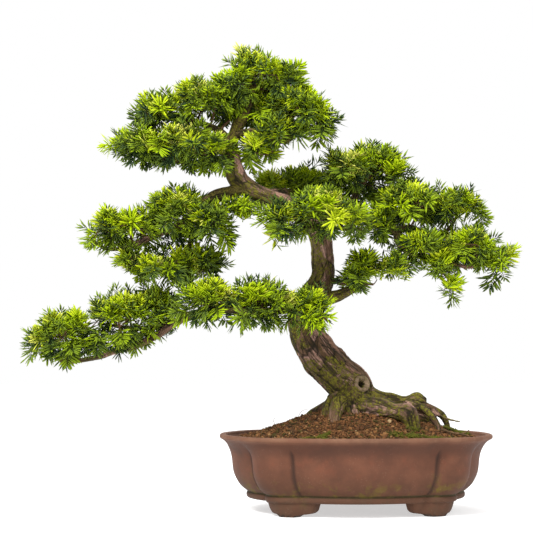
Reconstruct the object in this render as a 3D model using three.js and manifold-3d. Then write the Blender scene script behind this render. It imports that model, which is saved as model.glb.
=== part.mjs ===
// Yew bonsai in an eight-lobed oval pot, in millimetres, +Z up.
// Everything is laid out from the middle of the pot's footprint on the ground, X along the pot's
// long side and -Y towards the front. The finished group is then moved so that its origin is the
// middle of the underside of the whole object's box.
import * as THREE from "three";
import { mergeVertices } from "three/addons/utils/BufferGeometryUtils.js";
import Module from "manifold-3d";

const wasm = await Module();
wasm.setup();

// ---- Driving dimensions ----------------------------------------------------------------------

const POT_LENGTH = 431; // over the lip, along X
const POT_DEPTH = 334; // over the lip, along Y
const POT_HEIGHT = 121; // from the ground to the top of the lip
const POT_WALL = 9; // thickness of the wall and of the floor
const FOOT_HEIGHT = 21; // from the ground to the underside of the pot
const FOOT_BEARING = 41.3; // angle at which each foot stands out from the long axis, in degrees
const FOOT_SPREAD = 16.2; // half the angle that a foot takes of the outline, in degrees
const FOOT_THICKNESS = 24; // across the outline
const LIP_LOBING = 0.3; // how much of the lobing is left at the lip
const DRAIN_RADIUS = 13; // drain holes, one each side of the middle
const DRAIN_SPACING = 190; // between the drain holes' centres
const SCREEN_SIDE = 38; // plastic screen over each drain hole
const SCREEN_THICKNESS = 1.6;
const SCREEN_HOLES = 4; // holes along each side of a screen
const SCREEN_BAR = 2.2; // width of the bars between them
const CLIP_WIRE = 1.6; // diameter of the wire that pins a screen down
const SOIL_EDGE_DEPTH = 10; // of the soil's edge below the lip
const SOIL_CROWN = 48; // rise of the soil from its edge to the trunk
const MOSS_HEIGHT = 6;
const TREE_SCALE = 1; // the whole tree above the soil, about the foot of its trunk
const WOOD_GIRTH = 1; // thickness of the trunk and limbs
const PAD_SCALE = 1; // size of the foliage pads about their own middles
const GAP = 0.4; // kept between neighbouring solids

// Number of facets.
const POT_SEGMENTS = 72; // a multiple of 72 puts a vertex in each groove between lobes
const TRUNK_SIDES = 12;
const LIMB_SIDES = 6;
const PAD_SIDES = 8;

// ---- Finishes --------------------------------------------------------------------------------

const clay = new THREE.MeshStandardMaterial({ color: 0x7d503d, roughness: 0.8 });
const earth = new THREE.MeshStandardMaterial({ color: 0x5e4325, roughness: 0.95 });
const mossGreen = new THREE.MeshStandardMaterial({ color: 0x4a5a16, roughness: 0.95 });
const bark = new THREE.MeshStandardMaterial({ color: 0x6b5238, roughness: 0.9 });
const needles = new THREE.MeshStandardMaterial({ color: 0x5d7418, roughness: 0.6 });
const screenPlastic = new THREE.MeshStandardMaterial({ color: 0x1d1d1f, roughness: 0.6 });
const wireMetal = new THREE.MeshStandardMaterial({ color: 0x6d6a66, roughness: 0.4, metalness: 0.9 });

// ---- Solids ----------------------------------------------------------------------------------

const radians = THREE.MathUtils.degToRad;
const lerp = THREE.MathUtils.lerp;
const smoothstep = THREE.MathUtils.smoothstep;

// A three.js geometry as a manifold-3d solid.
function solid(geometry) {
  const bare = geometry.index ? geometry.toNonIndexed() : geometry.clone();
  bare.deleteAttribute("normal");
  bare.deleteAttribute("uv");
  const merged = mergeVertices(bare, 1e-3);
  return new wasm.Manifold(
    new wasm.Mesh({
      numProp: 3,
      vertProperties: new Float32Array(merged.attributes.position.array),
      triVerts: new Uint32Array(merged.index.array),
    }),
  );
}

function geometryOf(shape) {
  const mesh = shape.getMesh();
  return new THREE.BufferGeometry()
    .setAttribute("position", new THREE.BufferAttribute(mesh.vertProperties, 3))
    .setIndex(new THREE.BufferAttribute(mesh.triVerts, 1))
    .toNonIndexed();
}

// Moves every vertex of a geometry to where place(vertex) puts it.
function reshape(geometry, place) {
  const at = geometry.attributes.position;
  const vertex = new THREE.Vector3();
  for (let i = 0; i < at.count; i++) {
    vertex.fromBufferAttribute(at, i);
    place(vertex);
    at.setXYZ(i, vertex.x, vertex.y, vertex.z);
  }
  return geometry;
}

const unionOf = (shapes) => shapes.reduce((all, shape) => all.add(shape));

// ---- The pot's outline -----------------------------------------------------------------------

const HALF = { x: POT_LENGTH / 2, y: POT_DEPTH / 2 };
// Grooves between the lobes, as angles from the long axis, and how far out they lie.
const GROOVE_NEAR_END = { angle: radians(25), reach: 0.94 };
const GROOVE_NEAR_SIDE = { angle: radians(50), reach: 0.95 };
const CORNER_BULGE = 0.11; // of the corner lobes, as a share of the pot's length
const OVAL_POWER = 2.5; // squareness of the plain oval that the lobes grow from

// The plain oval's radius at an angle.
function ovalRadius(angle) {
  const along = Math.abs(Math.cos(angle)) / HALF.x;
  const across = Math.abs(Math.sin(angle)) / HALF.y;
  return (along ** OVAL_POWER + across ** OVAL_POWER) ** (-1 / OVAL_POWER);
}

function groovePoint({ angle, reach }) {
  const radius = ovalRadius(angle) * reach;
  return new THREE.Vector2(radius * Math.cos(angle), radius * Math.sin(angle));
}

// The circle through two points of the outline that bulges by the given height.
function lobeCircle(from, to, bulge) {
  const middle = from.clone().add(to).multiplyScalar(0.5);
  const halfChord = from.distanceTo(to) / 2;
  const radius = (halfChord ** 2 + bulge ** 2) / (2 * bulge);
  const outward = new THREE.Vector2(to.y - from.y, from.x - to.x).normalize();
  return { centre: middle.addScaledVector(outward, bulge - radius), radius };
}

const nearEnd = groovePoint(GROOVE_NEAR_END);
const nearSide = groovePoint(GROOVE_NEAR_SIDE);
const mirrored = (point, x, y) => new THREE.Vector2(point.x * x, point.y * y);
const endLobe = lobeCircle(mirrored(nearEnd, 1, -1), nearEnd, HALF.x - nearEnd.x);
const cornerLobe = lobeCircle(nearEnd, nearSide, (CORNER_BULGE * POT_LENGTH) / 2);
const sideLobe = lobeCircle(nearSide, mirrored(nearSide, -1, 1), HALF.y - nearSide.y);

// The outline's radius at an angle: lobing 0 is the plain oval, and 1 the full lobes.
function outlineRadius(angle, lobing) {
  const ray = new THREE.Vector2(Math.abs(Math.cos(angle)), Math.abs(Math.sin(angle)));
  const folded = Math.atan2(ray.y, ray.x);
  let lobe = cornerLobe;
  if (folded < GROOVE_NEAR_END.angle) lobe = endLobe;
  if (folded > GROOVE_NEAR_SIDE.angle) lobe = sideLobe;
  const along = ray.dot(lobe.centre);
  const reach = along + Math.sqrt(along ** 2 - lobe.centre.lengthSq() + lobe.radius ** 2);
  return lerp(ovalRadius(angle), reach, lobing);
}

// The grooves run out towards the lip.
const LOBING_FULL_BELOW = 0.76; // of the pot's height
const lobingAt = (height) =>
  lerp(1, LIP_LOBING, smoothstep(height, LOBING_FULL_BELOW * POT_HEIGHT, 0.95 * POT_HEIGHT));

// A lathed solid whose profile is [share of the outline, height] and whose plan is the outline.
function lobedLathe(profile) {
  const turned = new THREE.LatheGeometry(
    profile.map(([share, height]) => new THREE.Vector2(share, height)),
    POT_SEGMENTS,
  );
  turned.rotateX(Math.PI / 2);
  return reshape(turned, (v) => {
    const share = Math.hypot(v.x, v.y);
    const angle = Math.atan2(v.y, v.x);
    const radius = share * outlineRadius(angle, lobingAt(v.z));
    v.x = radius * Math.cos(angle);
    v.y = radius * Math.sin(angle);
  });
}

// The outside of the pot from its underside to its lip, as [inset from the lip's edge, height].
const BODY_HEIGHT = POT_HEIGHT - FOOT_HEIGHT;
const up = (share) => FOOT_HEIGHT + share * BODY_HEIGHT;
const share = (inset) => 1 - inset / HALF.x;
const BELT = [
  [share(52), up(0)],
  [share(44), up(0.02)],
  [share(42.5), up(0.055)],
  [share(44.5), up(0.1)],
];
const FLANK = [
  [share(43), up(0.105)],
  [share(36), up(0.165)],
  [share(27.5), up(0.28)],
  [share(22), up(0.4)],
  [share(19.5), up(0.6)],
  [share(15.5), up(0.76)],
  [share(6), up(0.91)],
];
const LIP = [
  [share(0), up(0.965)],
  [share(4), up(1)],
];
// The hollow follows the flank, a wall's thickness in from it. Returns its [share, height]
// profile from the middle of the floor up to the soil's edge.
const INNER_FLOOR = FOOT_HEIGHT + POT_WALL;
const SOIL_EDGE = POT_HEIGHT - SOIL_EDGE_DEPTH;
function hollow(clearance) {
  const inset = POT_WALL + clearance;
  const above = FLANK.findIndex(([, height]) => height >= SOIL_EDGE);
  const [[lowShare, low], [highShare, high]] = [FLANK[above - 1], FLANK[above]];
  const edge = [lerp(lowShare, highShare, (SOIL_EDGE - low) / (high - low)), SOIL_EDGE];
  const wall = [...FLANK.slice(1, above), edge];
  return [
    [0, INNER_FLOOR + clearance],
    [share(50 + inset), INNER_FLOOR + clearance],
    ...wall.map(([out, height]) => [out - inset / HALF.x, height]),
  ];
}

// Half the height profile of a foot, as [share of its spread, share of its height left open].
const FOOT_PROFILE = [
  [0, 0],
  [0.24, 0],
  [0.34, 0.14],
  [0.48, 0.2],
  [0.7, 0.25],
  [0.88, 0.42],
  [0.97, 0.68],
  [1, 0.97],
];

function foot(signX, signY) {
  const steps = FOOT_PROFILE.length - 1;
  const block = new THREE.BoxGeometry(2 * steps, 1, 1, 2 * steps, 2, 1);
  const outer = share(46.4);
  const inner = outer - FOOT_THICKNESS / HALF.x;
  const shaped = reshape(block, (v) => {
    const [spread, open] = FOOT_PROFILE[Math.round(Math.abs(v.x))];
    const angle = radians(FOOT_BEARING + Math.sign(v.x) * spread * FOOT_SPREAD);
    const level = v.y + 0.5; // 0 at the ground, 1 where it joins the pot
    const height = lerp(open * FOOT_HEIGHT, FOOT_HEIGHT + POT_WALL / 2, level);
    const reach = lerp(inner, outer - 0.025 * (1 - level), v.z + 0.5);
    const radius = reach * outlineRadius(angle, 1);
    v.set(radius * Math.cos(angle), radius * Math.sin(angle), height);
  });
  return solid(shaped).scale([signX, signY, 1]);
}

const SIDES = [-1, 1];
const drainX = (side) => (side * DRAIN_SPACING) / 2;

function pot() {
  const outside = solid(lobedLathe([[0, up(0)], ...BELT, ...FLANK, ...LIP, [0, up(1)]]));
  const mouth = [
    [share(11), up(0.975)],
    [share(11), 1.2 * POT_HEIGHT],
    [0, 1.2 * POT_HEIGHT],
  ];
  const shell = outside.subtract(solid(lobedLathe([...hollow(0), ...mouth])));
  const feet = SIDES.flatMap((x) => SIDES.map((y) => foot(x, y)));
  const drains = SIDES.map((side) => {
    const drill = new THREE.CylinderGeometry(DRAIN_RADIUS, DRAIN_RADIUS, 4 * POT_WALL, 16);
    return solid(drill.rotateX(Math.PI / 2).translate(drainX(side), 0, INNER_FLOOR));
  });
  return unionOf([shell, ...feet]).subtract(unionOf(drains));
}

// ---- Screens and the clips that hold them ----------------------------------------------------

const SCREEN_TOP = INNER_FLOOR + GAP + SCREEN_THICKNESS;

function screen(side) {
  const pitch = (SCREEN_SIDE - SCREEN_BAR) / SCREEN_HOLES;
  const opening = pitch - SCREEN_BAR;
  const middle = (SCREEN_HOLES - 1) / 2;
  const plate = new THREE.BoxGeometry(SCREEN_SIDE, SCREEN_SIDE, SCREEN_THICKNESS);
  let mesh = solid(plate);
  for (let i = 0; i < SCREEN_HOLES; i++) {
    for (let j = 0; j < SCREEN_HOLES; j++) {
      const punch = new THREE.BoxGeometry(opening, opening, 3 * SCREEN_THICKNESS);
      mesh = mesh.subtract(solid(punch.translate((i - middle) * pitch, (j - middle) * pitch, 0)));
    }
  }
  return mesh.translate([drainX(side), 0, SCREEN_TOP - SCREEN_THICKNESS / 2]);
}

// A staple of wire: over the screen, down through two of its holes and the drain hole, and
// turned out under the pot.
function clip(side) {
  const leg = (SCREEN_SIDE - SCREEN_BAR) / SCREEN_HOLES / 2; // the middle of a hole
  const over = SCREEN_TOP + GAP + CLIP_WIRE / 2;
  const under = FOOT_HEIGHT - GAP - CLIP_WIRE / 2;
  const toe = DRAIN_RADIUS + 7;
  const route = [
    [-toe, under],
    [-leg - CLIP_WIRE, under],
    [-leg, under + CLIP_WIRE],
    [-leg, over - CLIP_WIRE],
    [-leg + CLIP_WIRE, over],
    [leg - CLIP_WIRE, over],
    [leg, over - CLIP_WIRE],
    [leg, under + CLIP_WIRE],
    [leg + CLIP_WIRE, under],
    [toe, under],
  ].map(([x, z]) => new THREE.Vector3(drainX(side) + x, leg, z));
  const path = new THREE.CatmullRomCurve3(route, false, "catmullrom", 0.1);
  const section = new THREE.Shape().absarc(0, 0, CLIP_WIRE / 2, 0, 2 * Math.PI);
  const wire = new THREE.ExtrudeGeometry(section, {
    steps: 26,
    curveSegments: 3,
    extrudePath: path,
  });
  return solid(wire);
}

// ---- Soil and moss ---------------------------------------------------------------------------

const TRUNK_FOOT = { x: -5, y: 12 }; // where the trunk stands in the pot
const HEAP_MIDDLE = { x: 12, y: 13 }; // from there to the middle of the heaped soil

// The soil's surface, which rises from the pot's edge to the foot of the trunk.
function soilHeight(x, y) {
  const along = x - TRUNK_FOOT.x - HEAP_MIDDLE.x;
  const across = y - TRUNK_FOOT.y - HEAP_MIDDLE.y;
  const reach = Math.hypot(along / HALF.x, across / HALF.y);
  return SOIL_EDGE + SOIL_CROWN * (1 - smoothstep(reach, 0.1, 1));
}

function soilBlock() {
  const rings = [0.8, 0.62, 0.45, 0.25, 0];
  const block = lobedLathe([
    ...hollow(GAP),
    ...rings.map((ring) => [ring, SOIL_EDGE + 0.01]),
  ]);
  // Only the top is heaped: its rings are the vertices just above the soil's edge.
  return solid(
    reshape(block, (v) => {
      if (v.z > SOIL_EDGE + 0.005) v.z = soilHeight(v.x, v.y);
    }),
  );
}

// A cushion of moss, as its middle's shares of the pot's half sizes, then its own half sizes.
const MOSS_PATCHES = {
  moss_right_front: [0.43, -0.55, 62, 30],
  moss_left_front: [-0.27, -0.6, 40, 18],
  moss_right_end: [0.74, 0.07, 25, 40],
};

function mossPatch([shareX, shareY, halfLength, halfWidth]) {
  const x = shareX * HALF.x;
  const y = shareY * HALF.y;
  const cushion = new THREE.SphereGeometry(1, 14, 8);
  cushion.rotateX(Math.PI / 2);
  return solid(
    reshape(cushion, (v) => {
      const height = v.z * MOSS_HEIGHT;
      v.x = x + halfLength * v.x;
      v.y = y + halfWidth * v.y;
      v.z = soilHeight(v.x, v.y) + height;
    }),
  );
}

// ---- The tree's wood -------------------------------------------------------------------------
// Its points are [x, y, z, radius] at the tree's normal size, from the foot of the trunk.

// A place on the tree, measured from where the middle of its trunk meets the top of the soil.
function onTree(x, y, z) {
  const base = new THREE.Vector3(TRUNK_FOOT.x, TRUNK_FOOT.y, SOIL_EDGE + SOIL_CROWN);
  return new THREE.Vector3(x, y, z).multiplyScalar(TREE_SCALE).add(base);
}

// A tapering stem through [x, y, z, radius] points, made from a cylinder bent along a curve.
function stem(route, sides, extra = 0) {
  const curve = new THREE.CatmullRomCurve3(
    route.map(([x, y, z]) => onTree(x, y, z)),
    false,
    "centripetal",
  );
  const steps = route.length - 1;
  const frames = curve.computeFrenetFrames(steps, false);
  const rod = new THREE.CylinderGeometry(1, 1, steps, sides, steps);
  const bent = reshape(rod, (v) => {
    const step = Math.round(steps / 2 - v.y);
    const radius = route[step][3] * WOOD_GIRTH * TREE_SCALE + extra;
    const centre = curve.getPoint(step / steps);
    const across = frames.normals[step].clone().multiplyScalar(v.x * radius);
    const along = frames.binormals[step].clone().multiplyScalar(v.z * radius);
    v.copy(centre).add(across).add(along);
  });
  return solid(bent);
}

const TRUNK = [
  [3, 0, -33, 40],
  [1, 0, -1, 40],
  [-2, 0, 35, 33.5],
  [-28, 1, 60, 31.5],
  [-52, 2, 86, 31],
  [-68, 3, 111, 30],
  [-75, 3, 137, 28],
  [-70, 2, 163, 26],
  [-57, 0, 188, 23],
  [-47, -2, 209, 19],
  [-46, -3, 233, 18],
  [-47, -4, 257, 18],
  [-51, -5, 276, 18],
  [-62, -6, 295, 17],
  [-83, -7, 313, 15],
  [-109, -8, 328, 14],
  [-139, -10, 341, 14],
  [-168, -12, 355, 15],
  [-183, -14, 369, 15],
  [-188, -15, 384, 14],
  [-191, -16, 402, 12],
  [-192, -17, 422, 10],
  [-185, -18, 447, 9],
  [-171, -19, 473, 8],
  [-162, -20, 497, 6],
  [-159, -21, 521, 4.5],
  [-156, -22, 547, 3],
];

// Surface roots, the broken root end at their right, and the dead stub above the lowest limb.
const ROOTS = [
  [
    [5, -4, 21, 24], [35, -4, 17, 17], [63, -4, 12, 12], [87, -4, 12, 9], [103, -6, 17, 8],
    [120, -8, 14, 3.5],
  ],
  [[0, -12, 11, 24], [31, -32, 4, 17], [61, -48, 0, 13], [83, -58, -8, 14], [91, -65, -34, 11]],
  [[-7, -4, 19, 22], [-27, -12, 3, 16], [-38, -17, -13, 11], [-42, -20, -23, 8]],
  [[-11, -16, 17, 16], [-26, -36, 3, 12], [-31, -48, -11, 10], [-33, -54, -29, 8]],
  [[87, -6, 11, 8], [113, -22, 1, 6], [125, -38, -13, 5], [132, -48, -31, 4], [133, -52, -41, 3]],
  [[93, -4, 11, 8], [127, -2, 1, 6.5], [147, 0, -11, 6], [155, 2, -26, 5], [157, 2, -43, 4]],
  [[83, -6, 5, 10], [106, -8, -6, 11], [126, -6, -16, 10], [138, -4, -34, 9]],
  [[127, -2, 1, 5], [137, -11, -8, 3], [157, -16, -17, 2.2], [173, -20, -20, 1.4]],
  [[1, 8, 13, 22], [13, 44, 1, 14], [25, 72, -13, 10], [33, 88, -29, 7]],
  [[-13, 8, 9, 18], [-41, 34, -3, 12], [-63, 54, -15, 8], [-75, 64, -29, 5]],
];
const DEAD_STUB = [
  [-53, -6, 171, 14],
  [-23, -14, 180, 10],
  [-1, -18, 190, 7],
  [16, -19, 195, 4.5],
  [27, -20, 196, 1.8],
];

function trunk(extra) {
  const roots = ROOTS.map((route) => stem(route, LIMB_SIDES, extra));
  return unionOf([stem(TRUNK, TRUNK_SIDES, extra), ...roots, stem(DEAD_STUB, LIMB_SIDES, extra)]);
}

// Each limb is one or more stems: the first leaves the trunk and the others fork from it.
const LIMBS = {
  limb_lower_left: [
    [
      [-71, -2, 167, 13],
      [-101, -20, 175, 12],
      [-145, -32, 171, 10],
      [-203, -30, 159, 8],
      [-259, -24, 148, 7],
      [-293, -20, 129, 6.5],
      [-325, -16, 109, 6],
      [-374, -12, 92, 5],
      [-414, -10, 80, 4],
      [-459, -7, 77, 3],
      [-485, -7, 91, 2],
    ],
    [[-285, -21, 136, 5], [-325, -4, 128, 3.5], [-367, 18, 131, 2.5], [-405, 26, 137, 1.8]],
  ],
  limb_inner_left: [
    [
      [-73, -2, 151, 10],
      [-83, -52, 155, 8],
      [-107, -90, 155, 6.5],
      [-155, -106, 152, 5],
      [-207, -106, 155, 3.5],
      [-241, -100, 165, 2.2],
    ],
    [[-83, -52, 155, 6], [-67, -88, 145, 4], [-49, -104, 141, 2.5]],
  ],
  limb_middle_left: [
    [
      [-171, -12, 353, 12],
      [-195, -16, 344, 11],
      [-224, -20, 335, 10],
      [-243, -20, 321, 9],
      [-259, -17, 302, 7.5],
      [-288, -12, 286, 6],
      [-323, -12, 272, 5],
      [-363, -12, 255, 3.5],
      [-393, -12, 255, 2.8],
      [-417, -12, 271, 2],
    ],
    [[-257, -17, 304, 6], [-257, 2, 267, 4.5], [-269, 4, 239, 3.5], [-309, -2, 219, 2.2]],
  ],
  limb_right: [
    [
      [-59, -4, 289, 12],
      [-33, 12, 315, 10],
      [-5, 14, 319, 9],
      [21, 10, 311, 8.5],
      [46, 4, 299, 8.5],
      [75, -2, 284, 8],
      [79, -7, 263, 6.5],
      [103, -12, 247, 5],
      [149, -17, 236, 3.5],
      [189, -17, 227, 3],
      [219, -17, 233, 2],
    ],
    [
      [71, -1, 286, 7], [96, 4, 291, 6], [119, 8, 284, 5], [145, 8, 279, 4], [161, 8, 291, 3],
      [177, 8, 317, 2],
    ],
    [[79, -8, 261, 5], [74, -12, 244, 4], [62, -18, 231, 3.2], [37, -24, 222, 2.6], [1, -28, 213, 2]],
    [[5, 13, 315, 6.5], [10, 20, 345, 5], [25, 20, 369, 4], [51, 18, 391, 2.5]],
  ],
  limb_back_right: [
    [
      [-139, -6, 343, 10], [-109, 34, 351, 7.5], [-81, 64, 354, 6], [-43, 84, 361, 4],
      [-15, 88, 371, 2.5],
    ],
  ],
  limb_front: [
    [
      [-51, -6, 273, 10], [-49, -48, 281, 7], [-65, -78, 285, 5.5], [-97, -92, 279, 4],
      [-131, -96, 281, 2.5],
    ],
    [[-51, -52, 282, 5.5], [-31, -84, 283, 4], [7, -96, 279, 2.5]],
  ],
  limb_low_right: [
    [[-41, -6, 207, 7], [-11, -22, 201, 3.4], [11, -26, 200, 2.6], [33, -28, 198, 1.8]],
  ],
  limb_crown_left_low: [
    [
      [-191, -16, 397, 9], [-219, -22, 393, 6], [-250, -24, 390, 5], [-291, -20, 397, 4],
      [-327, -17, 406, 3], [-359, -17, 418, 2],
    ],
  ],
  limb_crown_left_high: [
    [
      [-191, -17, 423, 8],
      [-213, -14, 444, 6],
      [-235, -12, 454, 5],
      [-258, -12, 460, 4.5],
      [-282, -12, 466, 4],
      [-322, -12, 469, 3],
      [-341, -12, 481, 2],
    ],
  ],
  limb_crown_right: [
    [
      [-189, -18, 437, 7],
      [-168, -24, 441, 6],
      [-147, -28, 439, 5.5],
      [-124, -28, 427, 5],
      [-106, -26, 428, 4.5],
      [-90, -22, 439, 4],
      [-74, -18, 458, 3],
      [-51, -17, 469, 2],
    ],
  ],
};

// ---- The foliage pads ------------------------------------------------------------------------

// Each pad is a cloud of clumps, as [x, y, z, half length, half depth, height above its middle].
const CLUMP_UNDERSIDE = 0.8; // a clump reaches less far below its middle than above it
const PADS = {
  pad_crown_top: [
    [-157, -18, 539, 46, 50, 42],
    [-113, -12, 525, 50, 60, 34],
    [-191, -16, 513, 40, 54, 32],
    [-147, 32, 513, 56, 42, 30],
  ],
  pad_crown_right: [
    [-83, -22, 477, 54, 64, 36],
    [-131, 18, 477, 46, 54, 34],
    [-51, -18, 453, 32, 44, 28],
    [-127, -42, 433, 46, 44, 32],
    [-163, -24, 416, 24, 34, 20],
  ],
  pad_crown_left_high: [
    [-253, -16, 489, 48, 62, 40],
    [-311, -12, 475, 42, 50, 30],
    [-213, -4, 491, 38, 64, 36],
  ],
  pad_crown_left_low: [
    [-323, -26, 415, 54, 62, 30],
    [-261, -34, 419, 54, 68, 36],
    [-217, -46, 403, 34, 46, 36],
    [-361, -16, 419, 26, 38, 22],
    [-265, 30, 419, 56, 44, 28],
  ],
  pad_back_right: [
    [-121, 72, 361, 42, 44, 28],
    [-67, 80, 371, 50, 54, 32],
    [-21, 84, 369, 42, 48, 28],
  ],
  pad_upper_right: [
    [37, 10, 393, 48, 62, 40],
    [-11, -2, 387, 40, 56, 32],
    [73, 0, 375, 34, 52, 34],
    [29, 42, 363, 60, 46, 30],
  ],
  pad_right_mid: [
    [109, 2, 335, 52, 64, 32],
    [167, 4, 333, 46, 54, 28],
    [67, -8, 327, 36, 50, 30],
    [46, -8, 292, 30, 42, 26],
    [197, 2, 319, 28, 38, 20],
    [125, 48, 323, 52, 38, 26],
  ],
  pad_right_low: [
    [113, -22, 259, 44, 58, 30],
    [187, -16, 263, 50, 64, 32],
    [237, -18, 239, 34, 36, 24],
    [135, -40, 222, 28, 24, 26],
    [150, -46, 190, 15, 16, 28],
    [238, -20, 222, 22, 30, 15],
    [181, 34, 253, 46, 38, 24],
  ],
  pad_front: [
    [-55, -100, 315, 48, 46, 36],
    [-117, -98, 295, 40, 38, 26],
    [-19, -96, 293, 54, 48, 28],
    [-81, -104, 295, 40, 42, 32],
  ],
  pad_low_right: [
    [19, -26, 227, 36, 40, 22],
    [71, -24, 227, 36, 38, 16],
    [-3, -46, 207, 28, 26, 18],
  ],
  pad_middle_left: [
    [-283, -18, 311, 56, 68, 48],
    [-373, -16, 287, 62, 60, 36],
    [-221, -26, 293, 40, 58, 36],
    [-178, -30, 320, 26, 30, 18],
    [-325, 12, 287, 62, 58, 34],
  ],
  pad_middle_left_low: [
    [-299, -4, 227, 60, 60, 24],
    [-233, 2, 233, 42, 52, 26],
    [-354, -8, 238, 26, 36, 20],
  ],
  pad_lower_left: [
    [-371, -12, 141, 62, 72, 54],
    [-457, -8, 117, 60, 64, 46],
    [-497, -8, 103, 26, 36, 20],
    [-315, 10, 153, 46, 58, 48],
  ],
  pad_inner_left: [
    [-233, -88, 167, 56, 56, 46],
    [-155, -100, 163, 54, 52, 46],
    [-79, -100, 151, 50, 46, 44],
  ],
};

function clump([x, y, z, halfLength, halfDepth, height], extra) {
  const ball = new THREE.SphereGeometry(1, PAD_SIDES, PAD_SIDES * 0.6);
  ball.rotateX(Math.PI / 2);
  const middle = onTree(x, y, z);
  const size = TREE_SCALE * PAD_SCALE;
  return solid(
    reshape(ball, (v) => {
      const rise = v.z < 0 ? CLUMP_UNDERSIDE * height : height;
      v.x *= halfLength * size + extra;
      v.y *= halfDepth * size + extra;
      v.z *= rise * size + extra;
      v.add(middle);
    }),
  );
}

// ---- Assembly --------------------------------------------------------------------------------

const tree = new THREE.Group();

function add(name, shape, material) {
  const mesh = new THREE.Mesh(geometryOf(shape), material);
  mesh.name = name;
  tree.add(mesh);
}

// The largest piece of a solid: a cut can leave crumbs on a neighbour's far side.
const mainPiece = (shape) =>
  shape.decompose().reduce((best, piece) => (piece.volume() > best.volume() ? piece : best));

const trunkAndRoom = trunk(GAP);
let woodAndRoom = trunkAndRoom;
const limbs = [];
for (const [name, stems] of Object.entries(LIMBS)) {
  const whole = (extra) => unionOf(stems.map((route) => stem(route, LIMB_SIDES, extra)));
  limbs.push([name, mainPiece(whole(0).subtract(woodAndRoom))]);
  woodAndRoom = woodAndRoom.add(whole(GAP));
}

add("pot", pot(), clay);
for (const side of SIDES) {
  const end = side < 0 ? "left" : "right";
  add(`drain_screen_${end}`, screen(side), screenPlastic);
  add(`screen_clip_${end}`, clip(side), wireMetal);
}
const pockets = SIDES.map((side) => {
  const height = SCREEN_THICKNESS + CLIP_WIRE + 4 * GAP;
  const pocket = new THREE.BoxGeometry(SCREEN_SIDE + 2 * GAP, SCREEN_SIDE + 2 * GAP, 2 * height);
  return solid(pocket.translate(drainX(side), 0, INNER_FLOOR));
});
const block = soilBlock();
add("soil", mainPiece(block.subtract(unionOf([trunkAndRoom, ...pockets]))), earth);
const bed = block.scale([1.003, 1.003, 1]).translate([0, 0, GAP]).add(trunkAndRoom);
for (const [name, patch] of Object.entries(MOSS_PATCHES)) {
  add(name, mainPiece(mossPatch(patch).subtract(bed)), mossGreen);
}
add("trunk", trunk(0), bark);
for (const [name, shape] of limbs) add(name, shape, bark);

let taken = woodAndRoom;
for (const [name, clumps] of Object.entries(PADS)) {
  const pad = mainPiece(unionOf(clumps.map((each) => clump(each, 0))).subtract(taken));
  add(name, pad, needles);
  taken = taken.add(unionOf(clumps.map((each) => clump(each, GAP))));
}

// The origin goes to the middle of the underside of the whole object's box.
const box = new THREE.Box3().setFromObject(tree);
const middle = box.getCenter(new THREE.Vector3());
tree.position.set(-middle.x, -middle.y, -box.min.z);
const group = new THREE.Group();
group.add(tree);

export default group;
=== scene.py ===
"""A yew bonsai in an eight-lobed clay pot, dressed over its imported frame.

Lengths in the tables are in millimetres, and everything made from them is in metres.
"""

import math

import bmesh
import bpy
import numpy as np
from mathutils import Matrix, Vector, noise


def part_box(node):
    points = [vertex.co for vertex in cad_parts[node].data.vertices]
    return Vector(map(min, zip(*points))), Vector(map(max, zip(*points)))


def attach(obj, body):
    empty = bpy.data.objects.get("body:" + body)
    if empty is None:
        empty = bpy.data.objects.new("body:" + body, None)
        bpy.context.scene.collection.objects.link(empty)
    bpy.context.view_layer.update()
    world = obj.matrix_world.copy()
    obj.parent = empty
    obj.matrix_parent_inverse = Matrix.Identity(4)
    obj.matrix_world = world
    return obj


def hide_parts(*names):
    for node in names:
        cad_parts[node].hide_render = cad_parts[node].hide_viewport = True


bl_info = {
    "name": "Yew Bonsai",
    "version": (1, 0, 0),
    "blender": (4, 5, 0),
    "location": "View3D > Sidebar > Bonsai",
    "description": "Dresses the frame of a potted yew bonsai with clay, soil, bark and needles",
    "category": "Object",
}

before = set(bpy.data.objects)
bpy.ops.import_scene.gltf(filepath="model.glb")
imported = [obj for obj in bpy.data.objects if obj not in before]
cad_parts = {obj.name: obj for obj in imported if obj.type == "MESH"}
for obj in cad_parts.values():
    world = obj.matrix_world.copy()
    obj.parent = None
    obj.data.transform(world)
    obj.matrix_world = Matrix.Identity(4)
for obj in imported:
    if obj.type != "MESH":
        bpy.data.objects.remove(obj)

MM = 0.001
# The UV map of the small repeated shapes: u is the tint, and v runs along the shape.
BAKE_MAP = "OFBake"

POT_LOW, POT_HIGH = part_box("pot")
POT_MIDDLE = (POT_LOW + POT_HIGH) / 2
POT_LENGTH, POT_DEPTH, POT_HEIGHT = POT_HIGH - POT_LOW


def near_pot(x, y, z):
    """A place in metres, measured in millimetres from the middle of the pot's footprint."""
    return Vector((POT_MIDDLE.x + x * MM, POT_MIDDLE.y + y * MM, z * MM))


# ---- Settings -------------------------------------------------------------------------------


def colour(name, description, value):
    return bpy.props.FloatVectorProperty(
        name=name, description=description, subtype="COLOR", size=3, min=0, max=1, default=value
    )


def length(name, description, value):
    return bpy.props.FloatProperty(
        name=name, description=description, unit="LENGTH", subtype="DISTANCE", min=0, default=value
    )


def count(name, description, value):
    return bpy.props.IntProperty(name=name, description=description, min=0, default=value)


class PotSettings(bpy.types.PropertyGroup):
    length: length("Length", "Over the lip, along the pot's long side", POT_LENGTH)
    depth: length("Depth", "Over the lip, across the pot", POT_DEPTH)
    clay: colour("Clay", "The fired body", (0.105, 0.0395, 0.021))
    bloom: colour("Bloom", "The paler clay of the lip and of dry patches", (0.16, 0.083, 0.048))
    algae: colour("Algae", "The growth along the belt and in the grooves", (0.115, 0.085, 0.01))


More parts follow.
